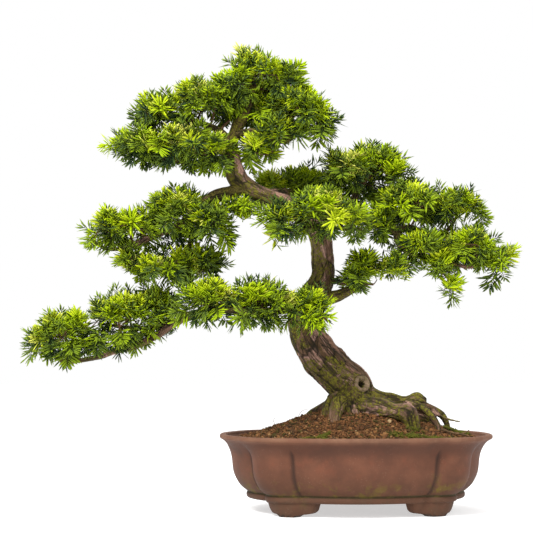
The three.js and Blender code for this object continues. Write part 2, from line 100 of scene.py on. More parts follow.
class SoilSettings(bpy.types.PropertyGroup):
    granules: count("Granules", "Crumbs of fired clay and bark on the surface", 6800)
    straws: count("Straws", "Fallen needles and fibres on the surface", 2300)
    granule: length("Granule", "Mean size of a crumb", 0.0042)
    moss: colour("Moss", "The tips of the moss", (0.1, 0.105, 0.01))


class WoodSettings(bpy.types.PropertyGroup):
    voxel: length("Detail", "Size of the facets of the trunk", 0.0019)
    plate: colour("Plates", "The pinkish flaking bark", (0.27, 0.15, 0.105))
    fissure: colour("Fissures", "The dark cracks between plates", (0.012, 0.009, 0.004))
    lichen: colour("Lichen", "The olive growth on old bark", (0.15, 0.135, 0.013))


class FoliageSettings(bpy.types.PropertyGroup):
    spacing: length("Spacing", "Between neighbouring twig ends", 0.0215)
    needle: length("Needle", "Length of a full-grown needle", 0.0188)
    width: length("Needle width", "Across the blade", 0.0033)
    young: colour("Young needles", "The tips of this year's shoots", (0.6, 0.6, 0.12))
    grown: colour("Grown needles", "Needles in full light", (0.33, 0.46, 0.004))
    # The darkest needles: older ones, darkened further as painted shade for the inner shoots and
    # for those facing down.
    old: colour("Old needles", "Needles deep in a pad", (0.022, 0.044, 0.02))


class StageSettings(bpy.types.PropertyGroup):
    floor: colour("Floor", "The plain floor", (0.6, 0.6, 0.6))
    sky: bpy.props.FloatProperty(
        name="Sky", description="Strength of the even light from all round", min=0, default=1.0
    )


# ---- Materials ------------------------------------------------------------------------------


class Shade:
    """A socket in a material: arithmetic on it adds Math nodes, and node() adds any other node."""

    def __init__(self, tree, socket=None):
        self.tree = tree
        self.socket = socket

    def node(self, kind, settings=None, inputs=None, output=0):
        """One output of a new node. Its "stops" are a colour ramp's, as (place, colour)."""
        made = self.tree.nodes.new(kind)
        for name, value in (settings or {}).items():
            if name == "stops":
                ramp = made.color_ramp.elements
                while len(ramp) < len(value):
                    ramp.new(1)
                for stop, (place, tone) in zip(ramp, value):
                    stop.position = place
                    stop.color = (*tone, 1)
            else:
                setattr(made, name, value)
        for name, value in (inputs or {}).items():
            if isinstance(value, Shade):
                self.tree.links.new(value.socket, made.inputs[name])
            else:
                made.inputs[name].default_value = value
        return Shade(self.tree, made.outputs[output])

    def math(self, operation, *values):
        return self.node("ShaderNodeMath", {"operation": operation}, dict(enumerate(values)))

    def __add__(self, other):
        return self.math("ADD", self, other)

    def __radd__(self, other):
        return self.math("ADD", other, self)

    def __sub__(self, other):
        return self.math("SUBTRACT", self, other)

    def __rsub__(self, other):
        return self.math("SUBTRACT", other, self)

    def __mul__(self, other):
        return self.math("MULTIPLY", self, other)

    def __rmul__(self, other):
        return self.math("MULTIPLY", other, self)

    def between(self, low, high):
        """0 below low, 1 above high, and smooth in between. It falls where low is above high."""
        settings = {"interpolation_type": "SMOOTHSTEP"}
        if low < high:
            return self.node("ShaderNodeMapRange", settings, {"Value": self, 1: low, 2: high})
        return 1 - self.node("ShaderNodeMapRange", settings, {"Value": self, 1: high, 2: low})

    def mixed(self, first, second):
        """The first colour where this is 0, and the second where it is 1."""
        inputs = {0: self, 6: full(first), 7: full(second)}
        return self.node("ShaderNodeMix", {"data_type": "RGBA"}, inputs, output=2)

    def stretched(self, scale):
        """This place with its axes stretched."""
        return self.node("ShaderNodeMapping", None, {"Vector": self, "Scale": scale})

    def grain(self, scale, detail=3.0, roughness=0.55):
        """Noise, mostly from 0.3 to 0.7, of so many lumps a metre."""
        inputs = {"Vector": self, "Scale": scale, "Detail": detail, "Roughness": roughness}
        return self.node("ShaderNodeTexNoise", None, inputs)

    def cells(self, scale, feature="F1", output=0):
        """Cells of so many a metre: the distance from their middles or from their edges."""
        inputs = {"Vector": self, "Scale": scale}
        return self.node("ShaderNodeTexVoronoi", {"feature": feature}, inputs, output)

    def axis(self, name):
        return self.node("ShaderNodeSeparateXYZ", None, {0: self}, "XYZ".index(name))


def full(tone):
    """A colour with its alpha, or a socket as it is."""
    return tone if isinstance(tone, Shade) else (*tone, 1)


class Finish:
    """A material under construction, with its places, attributes and shader."""

    def __init__(self, name, **constants):
        self.material = bpy.data.materials.new(name)
        self.material.use_nodes = True
        self.tree = self.material.node_tree
        self.shader = self.tree.nodes["Principled BSDF"]
        for socket, value in constants.items():
            self.shader.inputs[socket.replace("_", " ")].default_value = value
        self.start = Shade(self.tree)

    def place(self):
        return self.start.node("ShaderNodeTexCoord", output="Object")

    def chart(self, axis):
        """The tint of a repeated shape on the X axis, and the place along it on the Y axis."""
        uv = self.start.node("ShaderNodeUVMap", {"uv_map": BAKE_MAP})
        return uv.axis(axis)

    def attribute(self, name, output="Fac"):
        return self.start.node("ShaderNodeAttribute", {"attribute_name": name}, None, output)

    def surface(self, tone, roughness=None, height=None, depth=0.001):
        """Links the colour, roughness and a height in shares of a depth to the shader."""
        self.tree.links.new(tone.socket, self.shader.inputs["Base Color"])
        if roughness is not None:
            self.tree.links.new(roughness.socket, self.shader.inputs["Roughness"])
        if height is not None:
            bump = self.start.node("ShaderNodeBump", None, {"Height": height, "Distance": depth})
            self.tree.links.new(bump.socket, self.shader.inputs["Normal"])
        return self.material


SEAM_HEIGHT = 0.0318  # of the dark line over the pot's belt


def fired_clay(settings):
    """Bare red-brown clay: pale at the worn lip, green low down and in the grooves, with painted
    shade under the lip, towards the bottom and down the grooves.
    """
    clay = Finish("fired_clay", Roughness=0.75, Specular_IOR_Level=0.22)
    place = clay.place()
    height = place.axis("Z")
    broad = place.grain(14, 4, 0.6)
    cloud = place.grain(46, 5, 0.65)
    dust = place.grain(900, 2)
    groove = clay.attribute("groove")
    dark, light = ([share * c for c in settings.clay] for share in (0.76, 1.16))
    tone = broad.between(0.36, 0.64).mixed(dark, light)
    ruddy = cloud.between(0.5, 0.68) * 0.3
    tone = ruddy.mixed(tone, (0.155, 0.044, 0.021))
    lip = height.between(0.108, 0.119) * (0.35 + cloud.between(0.35, 0.65) * 0.65)
    tone = (lip * 0.75).mixed(tone, settings.bloom)
    dry = place.grain(24, 6, 0.7).between(0.55, 0.68) * height.between(0.075, 0.05)
    tone = (dry * 0.3).mixed(tone, settings.bloom)
    shade = height.between(0.085, 0.103) * height.between(0.115, 0.108)
    tone = (shade * 0.6).mixed(tone, (0.055, 0.023, 0.014))
    # Painted shade: the clay darkens towards the bottom of the body, in patches.
    damp_and_low_shade = height.between(0.085, 0.035) * (0.35 + cloud.between(0.35, 0.65) * 0.4)
    tone = damp_and_low_shade.mixed(tone, (0.058, 0.026, 0.013))
    off_seam = height - SEAM_HEIGHT
    seam = off_seam.math("ABSOLUTE", off_seam).between(0.003, 0.0006)
    tone = (seam * 0.8).mixed(tone, (0.03, 0.027, 0.008))
    patchy = place.grain(34, 6, 0.74).between(0.5, 0.64)
    low = height.between(0.062, 0.036) * height.between(0.029, 0.033)
    growth = (low * 0.6 + groove * height.between(0.085, 0.045) * 0.6) * patchy
    tone = growth.mixed(tone, settings.algae)
    # Painted shade: a dark line down each groove of the flank, where the crease lies in shade.
    flank = height.between(0.119, 0.106) * height.between(0.031, 0.036)
    line = groove.between(0.55, 0.98) * flank
    tone = (line * 0.8).mixed(tone, (0.028, 0.013, 0.008))
    belt = height.between(0.031, 0.027) * (0.25 + patchy * 0.45)
    tone = belt.mixed(tone, (0.07, 0.037, 0.02))
    soles = height.between(0.007, 0.001) * place.grain(220, 3).between(0.42, 0.55)
    tone = soles.mixed(tone, (0.02, 0.014, 0.008))
    specks = place.cells(420).between(0.16, 0.1) * place.grain(70).between(0.5, 0.6)
    tone = (specks * 0.4).mixed(tone, (0.4, 0.26, 0.19))
    pits = place.cells(310).between(0.12, 0.07) * place.grain(40).between(0.56, 0.66)
    tone = (pits * 0.75).mixed(tone, (0.03, 0.015, 0.01))
    rough = 0.62 + broad * 0.2 + growth * 0.1
    relief = dust * 0.25 + cloud * 0.5 - pits * 0.8
    return clay.surface(tone, rough, relief, 0.0007)


def soil_bed():
    bed = Finish("soil_bed", Roughness=0.95, Specular_IOR_Level=0.15)
    place = bed.place()
    crumbs = place.cells(330)
    damp_and_low_shade = place.grain(130, 5, 0.7).between(0.35, 0.68)
    tone = damp_and_low_shade.mixed((0.02, 0.011, 0.005), (0.105, 0.05, 0.02))
    tone = (crumbs.between(0.3, 0.1) * 0.5).mixed(tone, (0.17, 0.085, 0.035))
    return bed.surface(tone, None, crumbs, 0.002)


def soil_crumbs():
    crumb = Finish("soil_crumbs", Roughness=0.92, Specular_IOR_Level=0.2)
    stops = [
        (0.0, (0.016, 0.009, 0.005)),
        (0.2, (0.05, 0.04, 0.008)),
        (0.35, (0.07, 0.03, 0.011)),
        (0.6, (0.125, 0.052, 0.018)),
        (0.8, (0.19, 0.085, 0.028)),
        (0.93, (0.27, 0.15, 0.06)),
        (1.0, (0.42, 0.31, 0.16)),
    ]
    tone = crumb.start.node("ShaderNodeValToRGB", {"stops": stops}, {0: crumb.chart("X")})
    return crumb.surface(tone)


def moss_tufts(settings):
    moss = Finish("moss_tufts", Roughness=0.9, Specular_IOR_Level=0.15)
    tint = moss.chart("X")
    tone = tint.between(0.0, 1.0).mixed((0.03, 0.028, 0.006), settings.moss)
    tone = (moss.chart("Y").between(0.2, 1.0) * 0.4).mixed(tone, (0.15, 0.155, 0.018))
    return moss.surface(tone)


def old_bark(settings, name, mossy):
    """Flaking plates with dark fissures. Mossy bark is bare only where it faces up and right."""
    bark = Finish(name, Roughness=0.85, Specular_IOR_Level=0.2)
    place = bark.place()
    grain = bark.attribute("grain", "Vector")
    fine = grain.stretched((1, 1, 0.3))
    warp = fine.grain(90, 4, 0.6)
    edges = fine.cells(66, "DISTANCE_TO_EDGE")
    each = fine.cells(66, "F1", "Color").axis("X")
    fibres = fine.grain(420, 5, 0.65)
    crack = bark.attribute("crack")
    broad = place.grain(22, 4, 0.6)
    tone = warp.between(0.4, 0.6).mixed((0.075, 0.04, 0.02), settings.plate)
    tone = (each.between(0.45, 0.85) * 0.8).mixed(tone, (0.47, 0.275, 0.215))
    tone = (each.between(0.45, 0.1) * 0.65).mixed(tone, (0.085, 0.05, 0.022))
    tone = (fibres.between(0.46, 0.58) * 0.55).mixed(tone, (0.045, 0.026, 0.012))
    speckle = place.grain(260, 4, 0.72)
    spread = place.grain(30, 5, 0.66)
    if mossy:
        bare = bark.attribute("bare") * place.axis("Z").between(0.2, 0.24)
        high = place.axis("Z").between(0.26, 0.33) * 0.09
        amount = (spread + speckle * 0.16 + high - bare * 0.2).between(0.49, 0.57)
        green = speckle.between(0.42, 0.58).mixed((0.028, 0.024, 0.003), settings.lichen)
        fresh = place.grain(70, 4).between(0.54, 0.66) * 0.5
        green = fresh.mixed(green, (0.17, 0.165, 0.015))
        cover = amount * (0.55 + speckle.between(0.36, 0.56) * 0.42)
    else:
        amount = (spread + speckle * 0.12).between(0.49, 0.57)
        green = speckle.between(0.38, 0.62).mixed((0.038, 0.031, 0.006), (0.14, 0.12, 0.018))
        cover = amount * 0.9
    tone = cover.mixed(tone, green)
    split = edges.between(0.06, 0.015) * broad.between(0.44, 0.58) * 0.8
    tone = split.mixed(tone, settings.fissure)
    stripes = grain.stretched((1, 1, 0.12)).grain(150, 4, 0.6)
    tone = (stripes.between(0.53, 0.61) * 0.75).mixed(tone, settings.fissure)
    healed = fibres.between(0.4, 0.62).mixed((0.27, 0.185, 0.12), (0.11, 0.085, 0.035))
    tone = (crack.between(-0.25, -0.8) * 0.9).mixed(tone, healed)
    tone = (crack.between(0.3, 0.85) * 0.85).mixed(tone, settings.fissure)
    relief = fibres * 0.5 + edges.between(0.0, 0.12) * 0.6 + cover * speckle * 0.8 - stripes
    return bark.surface(tone, 0.72 + fibres * 0.25, relief, 0.0022)


def twig_bark():
    twig = Finish("twig_bark", Roughness=0.8, Specular_IOR_Level=0.2)
    place = twig.place()
    pale = place.grain(160, 4).between(0.35, 0.65)
    tone = pale.mixed((0.05, 0.03, 0.013), (0.17, 0.095, 0.045))
    return twig.surface(tone, None, place.grain(700, 3), 0.0005)


def needle_green(settings):
    needle = Finish("needle_green", Roughness=0.5, Specular_IOR_Level=0.06)
    tint = needle.chart("X")
    along = needle.chart("Y")
    stops = [
        (0.0, tuple(settings.old)),
        (0.3, [0.5 * a + 0.5 * b for a, b in zip(settings.old, settings.grown)]),
        (0.58, tuple(settings.grown)),
        (0.82, (0.45, 0.53, 0.014)),
        (1.0, tuple(settings.young)),
    ]
    shifted = tint + (along - 0.5) * 0.16
    tone = needle.start.node("ShaderNodeValToRGB", {"stops": stops}, {0: shifted})
    stalk = along.between(0.22, 0.0) * tint.between(0.1, 0.6) * 0.5
    tone = stalk.mixed(tone, (0.3, 0.33, 0.06))
    return needle.surface(tone)


def drain_plastic():
    plastic = Finish("drain_plastic", Roughness=0.5)
    place = plastic.place()
    dusty = place.grain(300, 5, 0.7).between(0.48, 0.66)
    tone = (dusty * 0.7).mixed((0.012, 0.012, 0.013), (0.1, 0.058, 0.032))
    return plastic.surface(tone, 0.42 + dusty * 0.45, place.grain(1500, 2), 0.0002)


def clip_wire():
    wire = Finish("clip_wire", Metallic=1.0, Roughness=0.4)
    place = wire.place()
    dull = place.grain(500, 4).between(0.45, 0.62)
    tone = (dull * 0.8).mixed((0.42, 0.4, 0.38), (0.12, 0.075, 0.05))
    return wire.surface(tone, 0.3 + dull * 0.4, place.grain(1800, 2), 0.0001)


# ---- Shared shapes --------------------------------------------------------------------------


def smoothstep(low, high, value):
    t = np.clip((value - low) / (high - low), 0, 1)
    return t * t * (3 - 2 * t)


def object_from(bm, name, material=None, smooth=True):
    """An object at the origin from a bmesh, which is freed."""
    mesh = bpy.data.meshes.new(name)
    bm.to_mesh(mesh)
    bm.free()
    return object_of(mesh, name, material, smooth)


def object_of(mesh, name, material=None, smooth=True):
    made = bpy.data.objects.new(name, mesh)
    bpy.context.scene.collection.objects.link(made)
    if material:
        mesh.materials.append(material)
    mesh.shade_smooth() if smooth else mesh.shade_flat()
    return made


def dressed(piece, slot, *nodes):
    """The piece rides on the frame and stands for these CAD nodes. Its slot is not used."""
    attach(piece, "root")
    if nodes:
        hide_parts(*nodes)


def points_of(mesh, field="co"):
    """The places of a mesh's vertices, or another vector field of theirs, as rows."""
    places = np.empty(3 * len(mesh.vertices), np.float32)
    mesh.vertices.foreach_get(field, places)
    return places.reshape(-1, 3).astype(float)


def store(mesh, name, values, kind="FLOAT"):
    """Keeps a number or a vector for each vertex, for a material to read."""
    attribute = mesh.attributes.new(name, kind, "POINT")
    field = "value" if kind == "FLOAT" else "vector"
    attribute.data.foreach_set(field, np.asarray(values, np.float32).ravel())


def with_modifiers(source, *modifiers):
    """A new mesh: the source object's with these modifiers applied, as (kind, settings)."""
    for kind, settings in modifiers:
        modifier = source.modifiers.new(kind.lower(), kind)
        for name, value in settings.items():
            setattr(modifier, name, value)
    evaluated = source.evaluated_get(bpy.context.evaluated_depsgraph_get())
    mesh = bpy.data.meshes.new_from_object(evaluated)
    bpy.data.objects.remove(source)
    return mesh


def extruded_ring(bm, edges):
    """Extrudes a loop of edges, and returns the new loop's vertices and edges."""
    made = bmesh.ops.extrude_edge_only(bm, edges=edges)["geom"]
    verts = [each for each in made if isinstance(each, bmesh.types.BMVert)]
    ring = set(verts)
    new = [e for e in made if isinstance(e, bmesh.types.BMEdge) and ring.issuperset(e.verts)]
    return verts, new


def rim_of(verts):
    ring = set(verts)
    return list({e for v in verts for e in v.link_edges if ring.issuperset(e.verts)})


class Stamp:
    """A small shape that is copied many times into one mesh, each copy with a tint."""

    def __init__(self, name, build):
        bm = bmesh.new()
        bm.loops.layers.uv.new(BAKE_MAP)
        build(bm)
        self.mesh = bpy.data.meshes.new(name)
        bm.to_mesh(self.mesh)
        bm.free()
        self.mesh.shade_smooth()
        self.points = points_of(self.mesh)
        chart = np.empty(2 * len(self.mesh.loops), np.float32)
        self.mesh.uv_layers[BAKE_MAP].uv.foreach_get("vector", chart)
        self.chart = chart.reshape(-1, 2)

    def press(self, bm, turn, place, tint):
        """Adds a copy, turned and scaled by a 3 x 3 matrix and moved to a place."""
        moved = self.points @ np.asarray(turn).T + place
        self.mesh.vertices.foreach_set("co", moved.astype(np.float32).ravel())
        chart = self.chart.copy()
        chart[:, 0] = np.clip(chart[:, 0] + tint, 0.01, 0.99)
        self.mesh.uv_layers[BAKE_MAP].uv.foreach_set("vector", chart.ravel())
        bm.from_mesh(self.mesh, face_normals=False, vertex_normals=False)


def mark(bm, faces, tint, along):
    """Sets the tint and the place along the shape in the UV map of some faces."""
    layer = bm.loops.layers.uv[BAKE_MAP]
    for face in faces:
        for loop in face.loops:
            loop[layer].uv = (tint, along(loop.vert.co))


def unit(vectors):
    vectors = np.asarray(vectors, float)
    return vectors / np.maximum(np.linalg.norm(vectors, axis=-1, keepdims=True), 1e-9)


def upright_frame(along, upper):
    """A matrix whose Z column runs along, and whose Y column leans to the upper side."""
    z = unit(along)
    y = np.asarray(upper, float) - z * np.dot(upper, z)
    if np.linalg.norm(y) < 1e-3:
        y = np.cross(z, (1.0, 0.0, 0.0))
    y = unit(y)
    return np.column_stack([np.cross(y, z), y, z])


def random_turn(rng):
    return upright_frame(rng.normal(size=3), rng.normal(size=3))


# ---- The pot --------------------------------------------------------------------------------

POT_FACETS = 288  # a multiple of 72 puts a vertex in each groove
OVAL_POWER = 2.5  # squareness of the plain oval that the lobes grow from
GROOVE_NEAR_END = (25, 0.94)  # bearing in degrees, and reach as a share of the oval
GROOVE_NEAR_SIDE = (50, 0.95)
GROOVE_SHADE = 3.5  # degrees to each side of a groove that it darkens
CORNER_BULGE = 0.11  # of the corner lobes, as a share of half the length
LIP_LOBING = 0.3  # how much of the lobing is left at the lip
FOOT_HEIGHT = 21
SOIL_EDGE = 111
# The outside from the underside up, over the lip and down the inside, as (inset, height).
POT_OUTSIDE = [
    (52, 21), (47, 21.3), (44, 22.5), (42.7, 24.6), (42.5, 27), (43, 29.4), (44.3, 31.1),
    (44.4, 31.9), (43.2, 32.4), (41.6, 33.5), (37.2, 37), (32, 42), (27.4, 49), (24, 56),
    (21.9, 62),
    (20.4, 71), (19.6, 80), (18, 89), (15.4, 97), (11.6, 105), (7.2, 110.4), (3, 113.2),
    (0.9, 114.4), (0.1, 116), (0, 117.8), (0.6, 119.5), (2, 120.6), (4, 121), (8, 120.8),
    (10.2, 120.2), (11, 118.8), (11.6, 116),
]
POT_INSIDE = [(15.6, 111), (19.4, 105), (24.3, 97), (28.5, 81), (31, 61), (36.5, 49), (58, 30)]
# A foot's underside, as (share of its spread, share of its height left open).
FOOT_UNDERSIDE = [
    (0, 0), (0.24, 0), (0.29, 0.03), (0.34, 0.14), (0.4, 0.19), (0.48, 0.2), (0.6, 0.21),
    (0.7, 0.25), (0.8, 0.31), (0.88, 0.42), (0.94, 0.56), (0.97, 0.68), (0.99, 0.83), (1, 0.97),
]
FOOT_BEARING, FOOT_SPREAD = 41.3, 16.2  # of a foot's middle, and from there to its ends
FOOT_THICKNESS, FOOT_OUTER_INSET = 24, 46.4
FOOT_ROOTING = 4.5  # how far a foot reaches up into the pot
DRAIN_RADIUS, DRAIN_SPACING = 13, 190
SIDES = (-1, 1)
SHARP_FROM = math.radians(34)  # the bend from which an edge of the pot is crisp


class Outline:
    """The pot's plan: an oval, or eight lobes that are arcs between grooves."""

    def __init__(self, length, depth):
        self.half = Vector((length / 2, depth / 2))
        near_end = self.groove(*GROOVE_NEAR_END)
        near_side = self.groove(*GROOVE_NEAR_SIDE)
        below = Vector((near_end.x, -near_end.y))
        across = Vector((-near_side.x, near_side.y))
        self.end = self.lobe(below, near_end, self.half.x - near_end.x)
        self.corner = self.lobe(near_end, near_side, CORNER_BULGE * self.half.x)
        self.side = self.lobe(near_side, across, self.half.y - near_side.y)

    def oval(self, angle):
        along = abs(math.cos(angle)) / self.half.x
        across = abs(math.sin(angle)) / self.half.y
        return (along**OVAL_POWER + across**OVAL_POWER) ** (-1 / OVAL_POWER)

    def groove(self, bearing, reach):
        angle = math.radians(bearing)
        return Vector((math.cos(angle), math.sin(angle))) * self.oval(angle) * reach

    @staticmethod
    def lobe(start, end, bulge):
        """The centre and radius of the arc through two points that bulges by a height."""
        radius = ((end - start).length_squared / 4 + bulge**2) / (2 * bulge)
        outward = Vector((end.y - start.y, start.x - end.x)).normalized()
        return (start + end) / 2 + outward * (bulge - radius), radius

    def radius(self, angle, lobing=1.0):
        ray = Vector((abs(math.cos(angle)), abs(math.sin(angle))))
        folded = math.degrees(math.atan2(ray.y, ray.x))
        centre, size = self.corner
        if folded < GROOVE_NEAR_END[0]:
            centre, size = self.end
        if folded > GROOVE_NEAR_SIDE[0]:
            centre, size = self.side
        along = ray.dot(centre)
        reach = along + math.sqrt(along**2 - centre.length_squared + size**2)
        return self.oval(angle) * (1 - lobing) + reach * lobing

    def share(self, inset):
        """What share of the outline is left, an inset in millimetres in from the end."""
        return 1 - inset * MM / self.half.x


def lobing_at(height):
    """How much of the lobing there is at a height in metres."""
    return 1 - (1 - LIP_LOBING) * float(smoothstep(0.76 * POT_HEIGHT, 0.95 * POT_HEIGHT, height))


def rounded(points, steps):
    """A smooth run through points, with so many steps from each to the next."""
    points = np.array(points, float)
    ends = np.vstack([2 * points[0] - points[1], points, 2 * points[-1] - points[-2]])
    run = []
    for a, b, c, d in zip(ends, ends[1:], ends[2:], ends[3:]):
        for t in np.linspace(0, 1, steps, endpoint=False):
            bend = (2 * a - 5 * b + 4 * c - d) * t**2 + (3 * b - a - 3 * c + d) * t**3
            run.append(b + ((c - a) * t + bend) / 2)
    return [*run, points[-1]]


def turned_rings(bm, outline, rings, facets):
    """Extrudes a ring through (share, height) rings. Returns the first and last ring's edges."""
    verts = bmesh.ops.create_circle(bm, cap_ends=False, segments=facets, radius=1)["verts"]
    edges = rim_of(verts)
    first = edges
    for step, (share, height) in enumerate(rings):
        if step:
            verts, edges = extruded_ring(bm, edges)
        for v in verts:
            angle = math.atan2(v.co.y, v.co.x)
            reach = share * outline.radius(angle, lobing_at(height))
            v.co = (reach * math.cos(angle), reach * math.sin(angle), height)
    return first, edges


def pot_shell(bm, settings):
    """The pot without its feet, with a drain hole on each side of its middle."""
    outline = Outline(settings.length, settings.depth)
    run = rounded(POT_OUTSIDE, 3) + rounded(POT_INSIDE, 3)
    rings = [(outline.share(inset), height * MM) for inset, height in run]
    under, floor = turned_rings(bm, outline, rings, POT_FACETS)
    holes = {}
    for facing, (_, height) in ((-1, rings[0]), (1, rings[-1])):
        for side in SIDES:
            place = Matrix.Translation((side * DRAIN_SPACING * MM / 2, 0, height))
            circle = bmesh.ops.create_circle(
                bm, cap_ends=False, segments=40, radius=DRAIN_RADIUS * MM, matrix=place
            )
            holes[facing, side] = rim_of(circle["verts"])
    for facing, loop in ((-1, under), (1, floor)):
        edges = loop + [e for side in SIDES for e in holes[facing, side]]
        bmesh.ops.triangle_fill(bm, use_beauty=True, edges=edges, normal=(0, 0, facing))
    for side in SIDES:
        bmesh.ops.bridge_loops(bm, edges=holes[-1, side] + holes[1, side])
    return outline


def pot_feet(bm, outline):
    """Four blocks that follow the outline, hollowed below between their ends."""
    outer = outline.share(FOOT_OUTER_INSET)
    inner = outer - FOOT_THICKNESS * MM / outline.half.x
    spreads, opens = zip(*FOOT_UNDERSIDE)
    for side_x in SIDES:
        for side_y in SIDES:
            block = bmesh.new()
            bmesh.ops.create_cube(block, size=2)
            bmesh.ops.subdivide_edges(block, edges=block.edges, cuts=23, use_grid_fill=True)
            for v in block.verts:
                spread, level, across = v.co.x, (v.co.z + 1) / 2, (v.co.y + 1) / 2
                angle = math.radians(FOOT_BEARING + spread * FOOT_SPREAD)
                low = float(np.interp(abs(spread), spreads, opens)) * FOOT_HEIGHT
                height = low + (FOOT_HEIGHT + FOOT_ROOTING - low) * level
                rounding = 0.012 * (1 - level) ** 5 + 0.025 * (1 - level)
                radius = (inner + (outer - rounding - inner) * across) * outline.radius(angle)
                reach = Vector((side_x * math.cos(angle), side_y * math.sin(angle))) * radius
                v.co = (*reach, height * MM)
            shape = bpy.data.meshes.new("foot")
            block.to_mesh(shape)
            block.free()
            bm.from_mesh(shape)


def make_pot(settings):
    bm = bmesh.new()
    outline = pot_shell(bm, settings)
    pot_feet(bm, outline)
    bmesh.ops.recalc_face_normals(bm, faces=bm.faces)
    bmesh.ops.translate(bm, verts=bm.verts, vec=near_pot(0, 0, 0))
    pot = object_from(bm, "clay_pot", fired_clay(settings))
    grooves = []
    for x, y, z in points_of(pot.data):
        bearing = math.degrees(math.atan2(abs(y - POT_MIDDLE.y), abs(x - POT_MIDDLE.x)))
        gap = min(abs(bearing - groove) for groove, _ in (GROOVE_NEAR_END, GROOVE_NEAR_SIDE))
        grooves.append(max(0.0, 1 - gap / GROOVE_SHADE) * lobing_at(z))
    store(pot.data, "groove", grooves)
    pot.data.set_sharp_from_angle(angle=SHARP_FROM)
    dressed(pot, "clay", "pot")


# ---- Soil, moss and litter ------------------------------------------------------------------

TRUNK_FOOT = Vector((-5, 12))  # where the trunk stands, from the pot's middle
HEAP_MIDDLE = Vector((7, 25))
SOIL_CROWN = 48  # how far the heap rises over its edge
SOIL_LUMPS = 0.0022
# The soil's side against the pot, as (inset, height).
SOIL_INSIDE = [(58.4, 30.4), (37, 49), (31.5, 61), (29, 81), (24.8, 97), (19.9, 105)]
SOIL_EDGE_INSET = 16.1
SOIL_FACETS, SOIL_RINGS = 216, 52
CRUMB_SEED, MOSS_SEED = 11, 23


def soil_height(x, y):
    """The height in metres of the smooth soil, at a place in metres from the pot's middle."""
    along = (x / MM - HEAP_MIDDLE.x) * MM / (POT_LENGTH / 2)
    across = (y / MM - HEAP_MIDDLE.y) * MM / (POT_DEPTH / 2)
    reach = math.hypot(along, across)
    return (SOIL_EDGE + SOIL_CROWN * (1 - float(smoothstep(0.1, 1.0, reach)))) * MM


def soil_surface(x, y):
    """The height with the lumps of the real surface."""
    lumps = noise.fractal(Vector((x, y, 0.3)) * 45, 1.0, 2.2, 4)
    return soil_height(x, y) + lumps * SOIL_LUMPS


def on_soil(x, y, above=0.0):
    """A place over the soil's surface, from metres from the pot's middle."""
    return np.array(near_pot(x / MM, y / MM, (soil_surface(x, y) + above) / MM))


def make_soil(settings):
    outline = Outline(POT_LENGTH, POT_DEPTH)
    bm = bmesh.new()
    edge = outline.share(SOIL_EDGE_INSET)
    wall = [(outline.share(inset), height * MM) for inset, height in SOIL_INSIDE]
    crown = [(edge * share, SOIL_EDGE * MM) for share in np.linspace(1, 0.01, SOIL_RINGS)]
    first, last = turned_rings(bm, outline, wall + crown, SOIL_FACETS)
    bmesh.ops.edgeloop_fill(bm, edges=first)
    bmesh.ops.edgeloop_fill(bm, edges=last)
    for v in bm.verts:
        if v.co.z > (SOIL_EDGE - 0.1) * MM:
            v.co.z = soil_surface(v.co.x, v.co.y)
    bmesh.ops.recalc_face_normals(bm, faces=bm.faces)
    bmesh.ops.translate(bm, verts=bm.verts, vec=near_pot(0, 0, 0))
    dressed(object_from(bm, "soil_bed", soil_bed()), "earth", "soil")
    make_crumbs(settings, outline, edge)


def crumb_shape(seed):
    """A lumpy grain."""

    def build(bm):
        ball = bmesh.ops.create_icosphere(bm, subdivisions=1, radius=0.5)["verts"]
        for v in ball:
            v.co *= 1 + 0.42 * noise.noise(v.co * 2.3 + Vector((seed, 0, 0)))
        mark(bm, bm.faces, 0, lambda co: co.z + 0.5)

    return build


def straw_shape(bm):
    """A bent fibre of unit length along X."""
    rod = bmesh.ops.create_uvsphere(bm, u_segments=3, v_segments=4, radius=0.5)["verts"]
    for v in rod:
        along = v.co.z
        v.co = Vector((along, v.co.x * 0.11, v.co.y * 0.09 - 0.3 * along**2))
    mark(bm, bm.faces, 0, lambda co: co.x + 0.5)


def scattered(rng, outline, edge):
    """A random place on the soil."""
    angle = rng.uniform(0, 2 * math.pi)
    radius = outline.radius(angle, lobing_at(SOIL_EDGE * MM))
    reach = math.sqrt(rng.uniform()) * edge * 0.99 * radius
    return reach * math.cos(angle), reach * math.sin(angle)


def make_crumbs(settings, outline, edge):
    rng = np.random.default_rng(CRUMB_SEED)
    crumbs = [Stamp(f"crumb_{seed}", crumb_shape(3.1 * seed)) for seed in range(6)]
    straw = Stamp("straw", straw_shape)
    bm = bmesh.new()
    for _ in range(settings.granules):
        x, y = scattered(rng, outline, edge)
        size = settings.granule * rng.lognormal(0, 0.3) * np.array([1, rng.uniform(0.65, 1), 0.7])
        place = on_soil(x, y, size[2] * 0.22)
        tint = np.clip(rng.beta(2.2, 2.2) + 0.12 * noise.noise(Vector((x, y, 5)) * 60), 0, 1)
        stamp = crumbs[rng.integers(len(crumbs))]
        stamp.press(bm, random_turn(rng) * size, place, tint)
    for _ in range(settings.straws):
        x, y = scattered(rng, outline, edge)
        place = on_soil(x, y, 0.0018)
        heading = rng.uniform(0, 2 * math.pi)
        along = (math.cos(heading), math.sin(heading), rng.normal(0, 0.28))
        turn = upright_frame((rng.normal(0, 0.3), rng.normal(0, 0.3), 1), along)[:, [1, 0, 2]]
        straw.press(bm, turn * rng.uniform(0.006, 0.013), place, rng.uniform(0.3, 0.92))
    bm.normal_update()
    dressed(object_from(bm, "soil_crumbs", soil_crumbs(), smooth=False), "earth")


# A cushion of moss, as its middle's shares of the pot's half sizes, then its half sizes.
MOSS_PATCHES = {
    "moss_right_front": (0.43, -0.55, 62, 30),
    "moss_left_front": (-0.27, -0.6, 40, 18),
    "moss_right_end": (0.74, 0.07, 25, 40),
}


